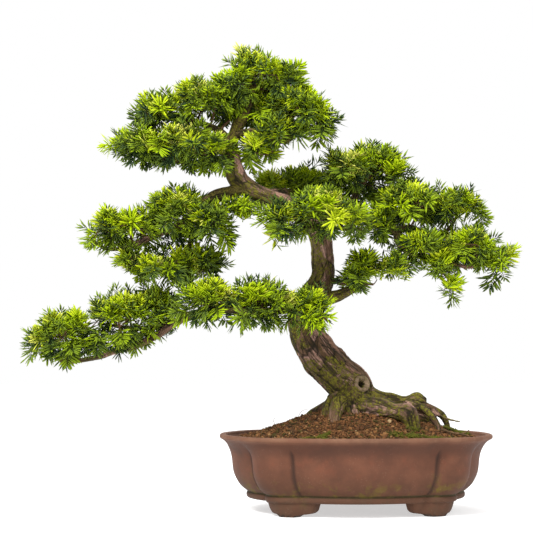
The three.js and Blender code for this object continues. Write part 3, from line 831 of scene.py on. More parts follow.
def cushion_shape(bm):
    """A flattened lumpy ball."""
    ball = bmesh.ops.create_icosphere(bm, subdivisions=2, radius=1)["verts"]
    for v in ball:
        v.co *= 1 + 0.3 * noise.noise(v.co * 2.7)
        v.co.z *= 0.55
    mark(bm, bm.faces, -0.1, lambda co: 0.1)


def tuft_shape(bm):
    """A star of little pointed leaves."""
    for turn in range(6):
        leaf = bmesh.ops.create_uvsphere(bm, u_segments=3, v_segments=2, radius=0.5)["verts"]
        lean = math.radians(18 + 44 * (turn % 2))
        for v in leaf:
            v.co = Vector((v.co.x * 0.22, v.co.y * 0.16, v.co.z + 0.5))
        rotation = Matrix.Rotation(turn * math.tau / 6, 3, "Z") @ Matrix.Rotation(lean, 3, "X")
        bmesh.ops.rotate(bm, verts=leaf, cent=(0, 0, 0), matrix=rotation)
    mark(bm, bm.faces, 0, lambda co: min(co.length, 1.0))


def make_moss(settings):
    rng = np.random.default_rng(MOSS_SEED)
    material = moss_tufts(settings)
    cushion = Stamp("moss_cushion", cushion_shape)
    tuft = Stamp("moss_tuft", tuft_shape)
    for name, (share_x, share_y, half_length, half_width) in MOSS_PATCHES.items():
        bm = bmesh.new()
        area = half_length * half_width
        clots = [rng.normal(0, 0.48, 2) for _ in range(area // 70)]
        kinds = ((cushion, area // 45, 1.0, 0.0), (tuft, area // 5, 1.15, 0.0016))
        for kind, number, growth, above in kinds:
            for _ in range(number):
                around = clots[rng.integers(len(clots))] + rng.normal(0, 0.1, 2)
                if np.hypot(*around) > 1:
                    continue
                x = share_x * POT_LENGTH / 2 + around[0] * half_length * MM
                y = share_y * POT_DEPTH / 2 + around[1] * half_width * MM
                lean = unit([rng.normal(0, 0.25), rng.normal(0, 0.25), 1])
                size = rng.uniform(0.0026, 0.0052) * growth
                turn = upright_frame(lean, rng.normal(size=3)) * size
                kind.press(bm, turn, on_soil(x, y, above), rng.uniform(0.1, 0.9))
        bm.normal_update()
        dressed(object_from(bm, f"{name}_tufts", material), "moss", name)


# Twigs and dry stalks, as (x, y, height over the soil, radius) from the pot's middle.
LITTER = [
    [(128, -52, 8, 2.4), (144, -55, 7, 1.9), (158, -58, 8, 1.6), (170, -60, 7, 1.2)],
    [(158, -58, 8, 1.4), (167, -56, 12, 0.9), (172, -55, 16, 0.6)],
    [(-92, 10, 2, 0.4), (-86, 8, 11, 0.35), (-80, 6, 13, 0.3), (-72, 4, 12, 0.25)],
    [(-130, -6, 0, 0.7), (-129, -7, 10, 0.5), (-131, -8, 16, 0.3), (-127, -9, 21, 0.2)],
    [(-150, -12, 0, 0.7), (-149, -13, 8, 0.5), (-146, -14, 11, 0.4)],
    [(-60, -110, 3, 0.8), (-48, -113, 6, 0.8), (-36, -118, 4, 0.6)],
    [(60, -120, 3, 0.9), (74, -124, 5, 0.8), (86, -122, 3, 0.5)],
    [(-176, -40, 1.5, 1.2), (-168, -44, 2.5, 1.6), (-158, -47, 1.5, 0.9)],
]


def rods(name, runs, sides=0):
    """Round rods through (x, y, z, radius) runs in metres, as one mesh."""
    curve = bpy.data.curves.new(name, "CURVE")
    curve.dimensions = "3D"
    curve.bevel_depth = 1
    curve.bevel_resolution = sides
    curve.use_fill_caps = True
    for run in runs:
        spline = curve.splines.new("POLY")
        spline.points.add(len(run) - 1)
        spline.use_smooth = True
        for point, (x, y, z, radius) in zip(spline.points, run):
            point.co = (x, y, z, 1)
            point.radius = radius
    source = bpy.data.objects.new(name, curve)
    bpy.context.scene.collection.objects.link(source)
    mesh = with_modifiers(source)
    mesh.name = name
    return mesh


def make_litter():
    runs = [
        [
            (*near_pot(x, y, z + soil_height(x * MM, y * MM) / MM), radius * MM)
            for x, y, z, radius in rounded(stalk, 4)
        ]
        for stalk in LITTER
    ]
    dressed(object_of(rods("soil_litter", runs, 1), "soil_litter", twig_bark()), "earth")


# ---- The wood -------------------------------------------------------------------------------
# Points are (x, y, z, radius) from where the middle of the trunk meets the top of the soil.

TREE_FOOT = near_pot(TRUNK_FOOT.x, TRUNK_FOOT.y, SOIL_EDGE + SOIL_CROWN)

TRUNK = [
    (3, 0, -33, 40), (1, 0, -1, 40), (-2, 0, 35, 33.5), (-28, 1, 60, 31.5), (-52, 2, 86, 31),
    (-68, 3, 111, 30), (-75, 3, 137, 28), (-70, 2, 163, 26), (-57, 0, 188, 23), (-47, -2, 209, 19),
    (-46, -3, 233, 18), (-47, -4, 257, 18), (-51, -5, 276, 18), (-62, -6, 295, 17),
    (-83, -7, 313, 15), (-109, -8, 328, 14), (-139, -10, 341, 14), (-168, -12, 355, 15),
    (-183, -14, 369, 15), (-188, -15, 384, 14), (-191, -16, 402, 12), (-192, -17, 422, 10),
    (-185, -18, 447, 9), (-171, -19, 473, 8), (-162, -20, 497, 6), (-159, -21, 521, 4.5),
    (-156, -22, 547, 3),
]
ROOTS = [
    [(5, -4, 21, 24), (35, -4, 17, 17), (63, -4, 12, 12), (87, -4, 12, 9), (103, -6, 17, 8),
     (120, -8, 14, 3.5)],
    [(0, -12, 11, 24), (31, -32, 4, 17), (61, -48, 0, 13), (83, -58, -8, 14), (91, -65, -34, 11)],
    [(-7, -4, 19, 22), (-27, -12, 3, 16), (-38, -17, -13, 11), (-42, -20, -23, 8)],
    [(-11, -16, 17, 16), (-26, -36, 3, 12), (-31, -48, -11, 10), (-33, -54, -29, 8)],
    [(87, -6, 11, 8), (113, -22, 1, 6), (125, -38, -13, 5), (132, -48, -31, 4), (133, -52, -41, 3)],
    [(93, -4, 11, 8), (127, -2, 1, 6.5), (147, 0, -11, 6), (155, 2, -26, 5), (157, 2, -43, 4)],
    [(83, -6, 5, 10), (106, -8, -6, 11), (126, -6, -16, 10), (138, -4, -34, 9)],
    [(127, -2, 1, 5), (137, -11, -8, 3), (157, -16, -17, 2.2), (173, -20, -20, 1.4)],
    [(1, 8, 13, 22), (13, 44, 1, 14), (25, 72, -13, 10), (33, 88, -29, 7)],
    [(-13, 8, 9, 18), (-41, 34, -3, 12), (-63, 54, -15, 8), (-75, 64, -29, 5)],
]
DEAD_STUB = [
    (-53, -6, 171, 14), (-23, -14, 180, 10), (-1, -18, 190, 7), (16, -19, 195, 4.5),
    (27, -20, 196, 1.8),
]
LIMBS = {
    "limb_lower_left": [
        [(-71, -2, 167, 13), (-101, -20, 175, 12), (-145, -32, 171, 10), (-203, -30, 159, 8),
         (-259, -24, 148, 7), (-293, -20, 129, 6.5), (-325, -16, 109, 6), (-374, -12, 92, 5),
         (-414, -10, 80, 4), (-459, -7, 77, 3), (-485, -7, 91, 2)],
        [(-285, -21, 136, 5), (-325, -4, 128, 3.5), (-367, 18, 131, 2.5), (-405, 26, 137, 1.8)],
    ],
    "limb_inner_left": [
        [(-73, -2, 151, 10), (-83, -52, 155, 8), (-107, -90, 155, 6.5), (-155, -106, 152, 5),
         (-207, -106, 155, 3.5), (-241, -100, 165, 2.2)],
        [(-83, -52, 155, 6), (-67, -88, 145, 4), (-49, -104, 141, 2.5)],
    ],
    "limb_middle_left": [
        [(-171, -12, 353, 12), (-195, -16, 344, 11), (-224, -20, 335, 10), (-243, -20, 321, 9),
         (-259, -17, 302, 7.5), (-288, -12, 286, 6), (-323, -12, 272, 5), (-363, -12, 255, 3.5),
         (-393, -12, 255, 2.8), (-417, -12, 271, 2)],
        [(-257, -17, 304, 6), (-257, 2, 267, 4.5), (-269, 4, 239, 3.5), (-309, -2, 219, 2.2)],
    ],
    "limb_right": [
        [(-59, -4, 289, 12), (-33, 12, 315, 10), (-5, 14, 319, 9), (21, 10, 311, 8.5),
         (46, 4, 299, 8.5), (75, -2, 284, 8), (79, -7, 263, 6.5), (103, -12, 247, 5),
         (149, -17, 236, 3.5), (189, -17, 227, 3), (219, -17, 233, 2)],
        [(71, -1, 286, 7), (96, 4, 291, 6), (119, 8, 284, 5), (145, 8, 279, 4), (161, 8, 291, 3),
         (177, 8, 317, 2)],
        [(79, -8, 261, 5), (74, -12, 244, 4), (62, -18, 231, 3.2), (37, -24, 222, 2.6),
         (1, -28, 213, 2)],
        [(5, 13, 315, 6.5), (10, 20, 345, 5), (25, 20, 369, 4), (51, 18, 391, 2.5)],
    ],
    "limb_back_right": [
        [(-139, -6, 343, 10), (-109, 34, 351, 7.5), (-81, 64, 354, 6), (-43, 84, 361, 4),
         (-15, 88, 371, 2.5)],
    ],
    "limb_front": [
        [(-51, -6, 273, 10), (-49, -48, 281, 7), (-65, -78, 285, 5.5), (-97, -92, 279, 4),
         (-131, -96, 281, 2.5)],
        [(-51, -52, 282, 5.5), (-31, -84, 283, 4), (7, -96, 279, 2.5)],
    ],
    "limb_low_right": [
        [(-41, -6, 207, 7), (-11, -22, 201, 3.4), (11, -26, 200, 2.6), (33, -28, 198, 1.8)],
    ],
    "limb_crown_left_low": [
        [(-191, -16, 397, 9), (-219, -22, 393, 6), (-250, -24, 390, 5), (-291, -20, 397, 4),
         (-327, -17, 406, 3), (-359, -17, 418, 2)],
    ],
    "limb_crown_left_high": [
        [(-191, -17, 423, 8), (-213, -14, 444, 6), (-235, -12, 454, 5), (-258, -12, 460, 4.5),
         (-282, -12, 466, 4), (-322, -12, 469, 3), (-341, -12, 481, 2)],
    ],
    "limb_crown_right": [
        [(-189, -18, 437, 7), (-168, -24, 441, 6), (-147, -28, 439, 5.5), (-124, -28, 427, 5),
         (-106, -26, 428, 4.5), (-90, -22, 439, 4), (-74, -18, 458, 3), (-51, -17, 469, 2)],
    ],
}


class Course:
    """A smooth run of centres, radii and frames through (x, y, z, radius) points."""

    def __init__(self, points, step=3.0):
        points = np.array(points, float)
        gaps = np.linalg.norm(np.diff(points[:, :3], axis=0), axis=1)
        slopes = np.diff(points, axis=0) / gaps[:, None]
        before, after = gaps[:-1, None], gaps[1:, None]
        inner = (slopes[1:] * before + slopes[:-1] * after) / (before + after)
        tangents = np.vstack([slopes[:1], inner, slopes[-1:]])
        run = [points[:1]]
        for i, gap in enumerate(gaps):
            t = np.linspace(0, 1, max(2, round(gap / step)) + 1)[1:, None]
            run.append(
                (1 + 2 * t) * (1 - t) ** 2 * points[i]
                + t * (1 - t) ** 2 * gap * tangents[i]
                + t**2 * (3 - 2 * t) * points[i + 1]
                + t**2 * (t - 1) * gap * tangents[i + 1]
            )
        run = np.vstack(run)
        self.centres = run[:, :3] * MM + np.array(TREE_FOOT)
        self.radii = run[:, 3] * MM
        strides = np.linalg.norm(np.diff(self.centres, axis=0), axis=1)
        self.along = np.concatenate([[0], np.cumsum(strides)])
        self.ahead = unit(np.gradient(self.centres, axis=0))
        side = unit(np.cross(self.ahead[0], (0.0, 1.0, 0.1)))
        self.side = []
        for ahead in self.ahead:
            side = unit(side - ahead * np.dot(side, ahead))
            self.side.append(side)
        self.side = np.array(self.side)
        self.up = np.cross(self.ahead, self.side)


def tube(bm, course, sides, relief):
    """Extrudes a ring along a course, with relief(place in the straightened stem, radius)."""
    turn = bm.verts.layers.float["turn"]
    grain = bm.verts.layers.float_vector["grain"]
    verts = bmesh.ops.create_circle(bm, cap_ends=False, segments=sides, radius=1)["verts"]
    for v in verts:
        v[turn] = math.atan2(v.co.y, v.co.x)
    edges = rim_of(verts)
    bmesh.ops.edgeloop_fill(bm, edges=edges)
    for i, centre in enumerate(course.centres):
        if i:
            verts, edges = extruded_ring(bm, edges)
        for v in verts:
            across, upward = math.cos(v[turn]), math.sin(v[turn])
            radius = course.radii[i]
            straight = Vector((across * radius, upward * radius, course.along[i]))
            radius += relief(straight, radius)
            v.co = centre + (course.side[i] * across + course.up[i] * upward) * radius
            v[grain] = straight
    bmesh.ops.edgeloop_fill(bm, edges=edges)


def fluted(straight, radius):
    """Long ridges and hollows that follow the stem, and its lumps."""
    long = noise.noise(Vector((straight.x * 55, straight.y * 55, straight.z * 9)))
    lumps = noise.noise(Vector((straight.x * 28, straight.y * 28, straight.z * 26 + 7)))
    return radius * (0.16 * long + 0.12 * lumps)


def limb_relief(straight, radius):
    """The same on a limb, which is finer and knobblier."""
    long = noise.noise(Vector((straight.x * 130, straight.y * 130, straight.z * 24)))
    lumps = noise.noise(Vector((straight.x * 60, straight.y * 60, straight.z * 55 + 3)))
    fine = noise.noise(straight * 260)
    return radius * (0.16 * long + 0.22 * lumps + 0.07 * fine)


def wood_mesh():
    """An empty bmesh with what tube() keeps for each vertex."""
    bm = bmesh.new()
    bm.verts.layers.float.new("turn")
    bm.verts.layers.float_vector.new("grain")
    return bm


TRUNK_SIDES, LIMB_SIDES = 32, 18
KNOT_PLACE = np.array([0.139, -0.018, 0.199])  # in metres
KNOT_OUTWARD = unit([0.36, -0.93, 0.08])
KNOT_HOLE, KNOT_RING, KNOT_CREASE, KNOT_EDGE = 5.4, 9.6, 14, 17  # their radii
PLACES_AT_ONCE = 4000
BARE_SIDE = unit([0.75, -0.25, 0.55])  # the way the bark without moss faces
BURLS = [  # swollen places on the roots, as (place from the tree's foot, reach, swell)
    ((83, -66, 2), 15, 6.0),
    ((47, -40, 14), 14, 4.0),
    ((-34, -20, 6), 17, 5.0),
    ((106, -10, 26), 10, 3.5),
    ((66, -10, 22), 12, 3.0),
    ((-60, -22, 100), 16, 2.5),
]


def nearest_course(places, courses):
    """For each place: which course it lies on, and where on it."""
    centres = np.vstack([c.centres for c in courses])
    radii = np.concatenate([c.radii for c in courses])
    owner = np.concatenate([np.full(len(c.radii), i) for i, c in enumerate(courses)])
    step = np.concatenate([np.arange(len(c.radii)) for c in courses])
    best = np.empty(len(places), int)
    for start in range(0, len(places), PLACES_AT_ONCE):
        block = slice(start, start + PLACES_AT_ONCE)
        gaps = np.linalg.norm(places[block, None] - centres[None], axis=2) - radii
        best[block] = gaps.argmin(1)
    return owner[best], step[best]


def straightened(places, courses):
    """Each place in its own stem laid straight along Z, and the stem's radius there."""
    owner, step = nearest_course(places, courses)
    grain = np.empty_like(places)
    girth = np.empty(len(places))
    for i, course in enumerate(courses):
        here = owner == i
        at = step[here]
        offset = places[here] - course.centres[at]
        grain[here, 0] = (offset * course.side[at]).sum(1)
        grain[here, 1] = (offset * course.up[at]).sum(1)
        grain[here, 2] = course.along[at] + (offset * course.ahead[at]).sum(1) + 0.37 * i
        girth[here] = course.radii[at]
    return grain, girth


def bark_relief(straight, girth):
    """The height of the ridges and torn plates at a place in a straight stem, and its crack."""
    x, y, z = straight
    size = min(1.0, girth / 0.026)
    wander = noise.noise(Vector((x * 60, y * 60, z * 30))) * 0.006
    ridge = noise.noise(Vector(((x + wander) * 105, (y + wander) * 105, z * 17)))
    lumps = noise.noise(Vector((x * 60, y * 60, z * 48 + 9)))
    near, far = noise.voronoi(Vector(((x + wander) * 88, (y + wander) * 88, z * 26)))[0][:2]
    torn = 0.5 + noise.noise(Vector((x * 34 + 5, y * 34, z * 22)))
    edge = max(0.0, 1 - (far - near) / 0.11) * min(1.0, max(0.0, torn * 2.2))
    fine = noise.noise(Vector((x * 240, y * 240, z * 100)))
    return size * (0.0036 * ridge + 0.0022 * lumps + 0.0009 * fine - 0.0013 * edge), edge * size


def hump(gap, width):
    """1 where the gap is 0, and next to nothing beyond twice the width."""
    return np.exp(-((gap / width) ** 2))


def with_knot(places, normals, lift, crack):
    """The relief with the knot's hole and ring in it. Its ring is marked by a crack below 0."""
    offset = places - KNOT_PLACE
    outward = offset @ KNOT_OUTWARD
    gap = np.linalg.norm(offset - outward[:, None] * KNOT_OUTWARD, axis=1) / MM
    facing = (normals @ KNOT_OUTWARD > 0) & (np.abs(outward) < 0.025) & (gap < 30)
    ring = 6.0 * hump(gap - KNOT_RING, 3.2) + 2.2 * hump(gap - KNOT_EDGE, 2.4)
    ring -= 12.0 * hump(gap, 5.0)
    lift = np.where(facing, lift * smoothstep(6, 26, gap) + ring * MM, lift)
    crack = np.where(facing & (gap < KNOT_EDGE), -smoothstep(KNOT_EDGE, 10, gap), crack)
    crack = np.where(facing & (gap < KNOT_HOLE), 1.0, crack)
    crack = np.where(facing & (np.abs(gap - KNOT_CREASE) < 1.0), 0.7, crack)
    return lift, crack


def carve_bark(mesh, courses):
    """Moves the trunk's surface into ridges, flaking plates, a ringed knot hole and burls."""
    places = points_of(mesh)
    normals = points_of(mesh, "normal")
    grain, girth = straightened(places, courses)
    lift, crack = np.array([bark_relief(*at) for at in zip(grain, girth)]).T
    for middle, reach, swell in BURLS:
        gap = np.linalg.norm(places - (np.array(TREE_FOOT) + np.array(middle) * MM), axis=1)
        lift = lift + swell * MM * hump(gap, reach * MM)
    lift, crack = with_knot(places, normals, lift, crack)
    moved = places + normals * lift[:, None]
    mesh.vertices.foreach_set("co", moved.astype(np.float32).ravel())
    store(mesh, "grain", grain, "FLOAT_VECTOR")
    store(mesh, "crack", crack)
    store(mesh, "bare", smoothstep(0.0, 0.85, normals @ BARE_SIDE))
    mesh.update()


def make_trunk(settings):
    courses = [Course(run) for run in (TRUNK, *ROOTS, DEAD_STUB)]
    bm = wood_mesh()
    for course in courses:
        tube(bm, course, TRUNK_SIDES, fluted)
    bmesh.ops.recalc_face_normals(bm, faces=bm.faces)
    source = object_from(bm, "trunk_source")
    remesh = {"mode": "VOXEL", "voxel_size": settings.voxel}
    mesh = with_modifiers(source, ("REMESH", remesh), ("SMOOTH", {"factor": 0.5, "iterations": 6}))
    for name in ("turn", "grain"):
        if name in mesh.attributes:
            mesh.attributes.remove(mesh.attributes[name])
    carve_bark(mesh, courses)
    trunk = object_of(mesh, "trunk_and_roots", old_bark(settings, "trunk_bark", True))
    dressed(trunk, "bark", "trunk")


def make_limbs(settings):
    material = old_bark(settings, "limb_bark", False)
    for name, runs in LIMBS.items():
        bm = wood_mesh()
        for run in runs:
            tube(bm, Course(run), LIMB_SIDES, limb_relief)
        bmesh.ops.recalc_face_normals(bm, faces=bm.faces)
        dressed(object_from(bm, f"{name}_bark", material), "bark", name)


# ---- The foliage ----------------------------------------------------------------------------

PADS = {  # each pad and the limbs that carry it
    "pad_crown_top": ["trunk"],
    "pad_crown_right": ["limb_crown_right"],
    "pad_crown_left_high": ["limb_crown_left_high"],
    "pad_crown_left_low": ["limb_crown_left_low"],
    "pad_back_right": ["limb_back_right"],
    "pad_upper_right": ["limb_right"],
    "pad_right_mid": ["limb_right"],
    "pad_right_low": ["limb_right"],
    "pad_front": ["limb_front"],
    "pad_low_right": ["limb_right", "limb_low_right"],
    "pad_middle_left": ["limb_middle_left"],
    "pad_middle_left_low": ["limb_middle_left"],
    "pad_lower_left": ["limb_lower_left"],
    "pad_inner_left": ["limb_inner_left"],
}
FIRST_PAD_SEED = 100
TWIG_SPACING = 0.04  # between the ends of a pad's main twigs
STEM = 0.024  # of a shoot, at its normal size
FULL_RINGS, PLAIN_RINGS = 3, 2  # of a needle on an outer shoot, and on an inner one
# Shoots as (seed, needles, whether they are flat sprays).
OUTER_SHOOTS = ((1, 16, True), (2, 15, True), (3, 15, True), (4, 17, False), (5, 18, True))
INNER_SHOOTS = ((6, 13, True), (7, 13, False), (8, 13, True))
UNDERSIDE = -0.3  # a pad's surface is its underside where it faces up by less than this
UNDERSIDE_SHARE = 0.62  # of the shoots stand on the underside


def shoot_shape(settings, seed, number, flat, rings):
    """A shoot along Z with its upper side to +Y: a flat spray of two ranks, or a spiral."""
    half_width = 0.575 * settings.width
    thickness = (0.16 if rings == FULL_RINGS else 0.184) * settings.width

    def build(bm):
        rng = np.random.default_rng(seed)
        stem = bmesh.ops.create_cone(
            bm, segments=3, cap_ends=False, radius1=0.0009, radius2=0.0004, depth=STEM
        )["verts"]
        bmesh.ops.translate(bm, verts=stem, vec=(0, 0, STEM / 2))
        mark(bm, bm.faces, -0.2, lambda co: 0.5)
        for i in range(number):
            done = set(bm.faces)
            t = (i + 0.5) / number
            if flat:
                turn = (0 if i % 2 else math.pi) + rng.normal(0.22, 0.2) * (1 if i % 2 else -1)
                lean = math.radians(68 - 40 * t**1.6 + rng.normal(0, 6))
                facing = Vector((0, 1, 0))
            else:
                turn = i * 2.4 + rng.normal(0, 0.2)
                lean = math.radians(74 - 52 * t**1.4 + rng.normal(0, 7))
                facing = Vector((0, 0.25, 1))
            out = Vector((math.cos(turn), math.sin(turn), 0))
            ahead = out * math.sin(lean) + Vector((0, 0, math.cos(lean)))
            across = ahead.cross(facing).normalized()
            above = across.cross(ahead)
            size = settings.needle * (0.62 + 0.55 * math.sin(math.pi * min(1, t + 0.18)))
            size *= rng.uniform(0.85, 1.15)
            ball = bmesh.ops.create_uvsphere(bm, u_segments=3, v_segments=rings, radius=1)
            bend = rng.uniform(-0.05, 0.16)
            base = Vector((0, 0, STEM * (0.12 + 0.88 * t)))
            for v in ball["verts"]:
                along = (v.co.z + 1) / 2
                v.co = (
                    base
                    + ahead * along * size
                    + across * v.co.x * half_width
                    + above * (v.co.y * thickness - bend * size * along**2)
                )
            new = [f for f in bm.faces if f not in done]
            mark(bm, new, rng.normal(0, 0.045), lambda co: min(1.0, (co - base).length / size))
        bmesh.ops.recalc_face_normals(bm, faces=bm.faces)

    return build


class PadSurface:
    """The smooth surface of a CAD pad, to take random places and directions from."""

    def __init__(self, name):
        bm = bmesh.new()
        bm.from_mesh(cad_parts[name].data)
        bmesh.ops.remove_doubles(bm, verts=bm.verts, dist=0.0001)
        bmesh.ops.triangulate(bm, faces=bm.faces)
        bmesh.ops.subdivide_edges(bm, edges=bm.edges, cuts=1, use_grid_fill=True)
        every_axis = {"use_axis_x": True, "use_axis_y": True, "use_axis_z": True}
        for _ in range(4):
            bmesh.ops.smooth_vert(bm, verts=bm.verts, factor=0.5, **every_axis)
        bmesh.ops.triangulate(bm, faces=bm.faces)
        bm.normal_update()
        self.corners = np.array([[v.co for v in f.verts] for f in bm.faces])
        self.normals = np.array([[v.normal for v in f.verts] for f in bm.faces])
        self.areas = np.array([f.calc_area() for f in bm.faces])
        bm.free()

    def sample(self, rng, number):
        """Random places on the surface and the directions outwards."""
        faces = rng.choice(len(self.areas), number, p=self.areas / self.areas.sum())
        u, v = rng.uniform(size=(2, number))
        flip = u + v > 1
        u, v = np.where(flip, 1 - u, u), np.where(flip, 1 - v, v)
        shares = np.column_stack([1 - u - v, u, v])[:, :, None]
        places = (self.corners[faces] * shares).sum(1)
        return places, unit((self.normals[faces] * shares).sum(1))


def spaced(places, gap):
    """The numbers of places that stand at least a gap apart, first come first kept."""
    kept = []
    for i, place in enumerate(places):
        if not kept or np.linalg.norm(places[kept] - place, axis=1).min() > gap:
            kept.append(i)
    return np.array(kept)


def twig_between(start, end, rng, steps, thick, thin):
    """A slightly bent twig from one place to another, as (x, y, z, radius)."""
    middle = (start + end) / 2 + rng.normal(0, 0.07, 3) * np.linalg.norm(end - start)
    middle[2] -= 0.05 * np.linalg.norm(end - start)
    run = []
    for t in np.linspace(0, 1, steps + 1):
        place = (1 - t) ** 2 * start + 2 * t * (1 - t) * middle + t**2 * end
        run.append((*place, thick + (thin - thick) * t))
    return run


class PadPlan:
    """Where a pad's twigs run and where its shoots stand."""

    def __init__(self, name, seed, spacing):
        rng = np.random.default_rng(seed)
        surface = PadSurface(name)
        area = surface.areas.sum()
        places, outward = surface.sample(rng, int(7 * area / spacing**2))
        waves = np.array([0.006 * noise.noise(Vector(p) * 28) for p in places])
        places = places + outward * waves[:, None]
        kept = spaced(places, spacing)
        places, outward = places[kept], outward[kept]
        below = outward[:, 2] < UNDERSIDE
        keep = ~below | (rng.uniform(size=len(places)) < UNDERSIDE_SHARE)
        self.places, self.outward = places[keep], outward[keep]
        self.inner, self.inner_outward = surface.sample(rng, int(1.15 * area / spacing**2))
        self.rng = rng
        self.plan_twigs(PADS[name])

    def depths(self):
        """How deep the outer shoots are rooted, so that their tips end at the surface."""
        rise = self.outward[:, 2]
        depth = 0.02 + 0.014 * np.clip(rise, 0, 1) + 0.007 * (1 - np.abs(rise))
        return np.where(rise < UNDERSIDE, 0.012, depth)

    def plan_twigs(self, carriers):
        """Twigs from the limbs to places inside the pad, and from there to every shoot."""
        runs = [run for limb in carriers for run in (LIMBS[limb] if limb in LIMBS else [TRUNK])]
        courses = [Course(run, 8.0) for run in runs]
        centres = np.vstack([c.centres for c in courses])
        radii = np.concatenate([c.radii for c in courses])
        deep = self.places - self.outward * 0.02
        order = self.rng.permutation(len(deep))
        ends = deep[order][spaced(deep[order], TWIG_SPACING)]
        self.twigs = []
        known = [centres]
        for end in ends:
            start = int(np.linalg.norm(centres - end, axis=1).argmin())
            thick = min(0.0026, radii[start] * 0.8)
            run = twig_between(centres[start], end, self.rng, 7, thick, 0.0012)
            self.twigs.append(run)
            known.append(np.array(run)[:, :3])
        known = np.vstack(known)
        self.roots = self.places - self.outward * self.depths()[:, None]
        for root in self.roots:
            start = known[np.linalg.norm(known - root, axis=1).argmin()]
            self.twigs.append(twig_between(start, root, self.rng, 3, 0.0011, 0.0007))

    def shoots(self):
        """Each shoot's root, direction, size, tint and whether it is an outer one."""
        rng = self.rng
        for root, outward in zip(self.roots, self.outward):
            up = outward[2]
            lift = 0.8 if up > UNDERSIDE else 0.1
            growth = unit(outward + np.array([0, 0, lift]) + rng.normal(0, 0.16, 3))
            # Painted light and shade: shoots facing up get paler, yellower needles, and shoots
            # facing down much darker ones.
            base = 0.56 + 0.17 * up - 0.35 * max(0.0, -0.15 - up) + rng.normal(0, 0.1)
            number = 3 if rng.uniform() < 0.55 else 2
            for k in range(number):
                spread = 0.2 if k == 0 else 0.45
                ahead = unit(growth + rng.normal(0, spread, 3))
                size = rng.uniform(0.82, 1.16) * (1.0 if k else 1.1)
                place = root + rng.normal(0, 0.0035, 3)
                tint = base + rng.normal(0, 0.08) + (0.07 if k == 0 else 0)
                yield place, ahead, size, tint, True
        # Painted shade over the older needles: the inner shoots get only the darkest tints.
        for place, outward in zip(self.inner, self.inner_outward):
            depth = rng.uniform(0.012, 0.03)
            ahead = unit(outward + np.array([0, 0, 0.2]) + rng.normal(0, 0.5, 3))
            size, tint = rng.uniform(0.85, 1.15), rng.uniform(0.02, 0.3)
            yield place - outward * depth, ahead, size, tint, False


def make_foliage(settings):
    material = needle_green(settings)
    outer, inner = (
        [
            Stamp(f"shoot_{seed}", shoot_shape(settings, seed, needles, flat, rings))
            for seed, needles, flat in shoots
        ]
        for shoots, rings in ((OUTER_SHOOTS, FULL_RINGS), (INNER_SHOOTS, PLAIN_RINGS))
    )
    twigs = []
    for seed, name in enumerate(PADS, FIRST_PAD_SEED):
        plan = PadPlan(name, seed, settings.spacing)
        twigs += plan.twigs
        bm = bmesh.new()
        rng = plan.rng
        for place, ahead, size, tint, is_outer in plan.shoots():
            stamps = outer if is_outer else inner
            upper = np.array([0, 0, 1.0]) + rng.normal(0, 0.45, 3)
            turn = upright_frame(ahead, upper) * size
            tint = float(np.clip(tint, 0.02, 0.98))
            stamps[rng.integers(len(stamps))].press(bm, turn, place, tint)
        bm.normal_update()
        dressed(object_from(bm, name.replace("pad", "needles"), material), "needles", name)
    dressed(object_of(rods("twigs", twigs), "twigs", twig_bark()), "bark")


# ---- The drain fittings and the stage -------------------------------------------------------


def finish_drains():
    finishes = {"drain_screen": drain_plastic(), "screen_clip": clip_wire()}
    for kind, material in finishes.items():
        for side in ("left", "right"):
            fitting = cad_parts[f"{kind}_{side}"]
            if not fitting.data.materials:
                fitting.data.materials.append(None)
            for slot in fitting.material_slots:
                slot.material = material


LAMPS = [  # (name, place, size across, power, target)
    ("key_light", (-1.2, -1.9, 2.5), 1.1, 125, (0, 0, 0.35)),
    ("fill_light", (1.9, -1.6, 1.2), 1.8, 14, (0, 0, 0.3)),
    ("top_light", (0.1, 0.5, 2.6), 1.8, 40, (0, 0, 0.4)),
]
CAMERA_PLACE = Vector((-0.131, -2.309, 0.2364))
CAMERA_TARGET = Vector((-0.010, 0.0074, 0.3864))


def aimed(name, data, place, target):
    made = bpy.data.objects.new(name, data)
    bpy.context.scene.collection.objects.link(made)
    made.location = place
    made.rotation_euler = (Vector(target) - Vector(place)).to_track_quat("-Z", "Y").to_euler()
    return made


def floor_finish(settings):
    paper = Finish("floor_paper", Roughness=0.95, Specular_IOR_Level=0.0)
    paper.shader.inputs["Emission Color"].default_value = (1, 1, 1, 1)
    paper.shader.inputs["Emission Strength"].default_value = 0.55
    tone = paper.place().grain(3, 2).mixed(settings.floor, [0.99 * c for c in settings.floor])
    return paper.surface(tone)


def set_stage(settings):
    """The floor, the soft lights, the white room and the camera."""
    scene = bpy.context.scene
    bm = bmesh.new()
    bmesh.ops.create_grid(bm, x_segments=4, y_segments=4, size=12)
    floor = object_from(bm, "floor", floor_finish(settings))
    for name, place, size, power, target in LAMPS:
        lamp = bpy.data.lights.new(name, "AREA")
        lamp.shape = "DISK"
        lamp.size = size
        lamp.energy = power
        aimed(name, lamp, place, target)
    world = bpy.data.worlds.new("white_room")
    world.use_nodes = True
    sky = world.node_tree.nodes["Background"]
    sky.inputs["Color"].default_value = (1, 1, 1, 1)
    sky.inputs["Strength"].default_value = settings.sky
    scene.world = world
    lens = bpy.data.cameras.new("camera")
    lens.lens = 98.1
    lens.sensor_width = 36
    scene.camera = aimed("camera", lens, CAMERA_PLACE, CAMERA_TARGET)
    scene.view_settings.view_transform = "Standard"


# ---- The add-on -----------------------------------------------------------------------------


class BONSAI_OT_pot(bpy.types.Operator):
    """Make the lobed clay pot and its feet"""

    bl_idname = "bonsai.pot"
    bl_label = "Clay Pot"

    def execute(self, context):
        make_pot(context.scene.bonsai_pot)
        return {"FINISHED"}


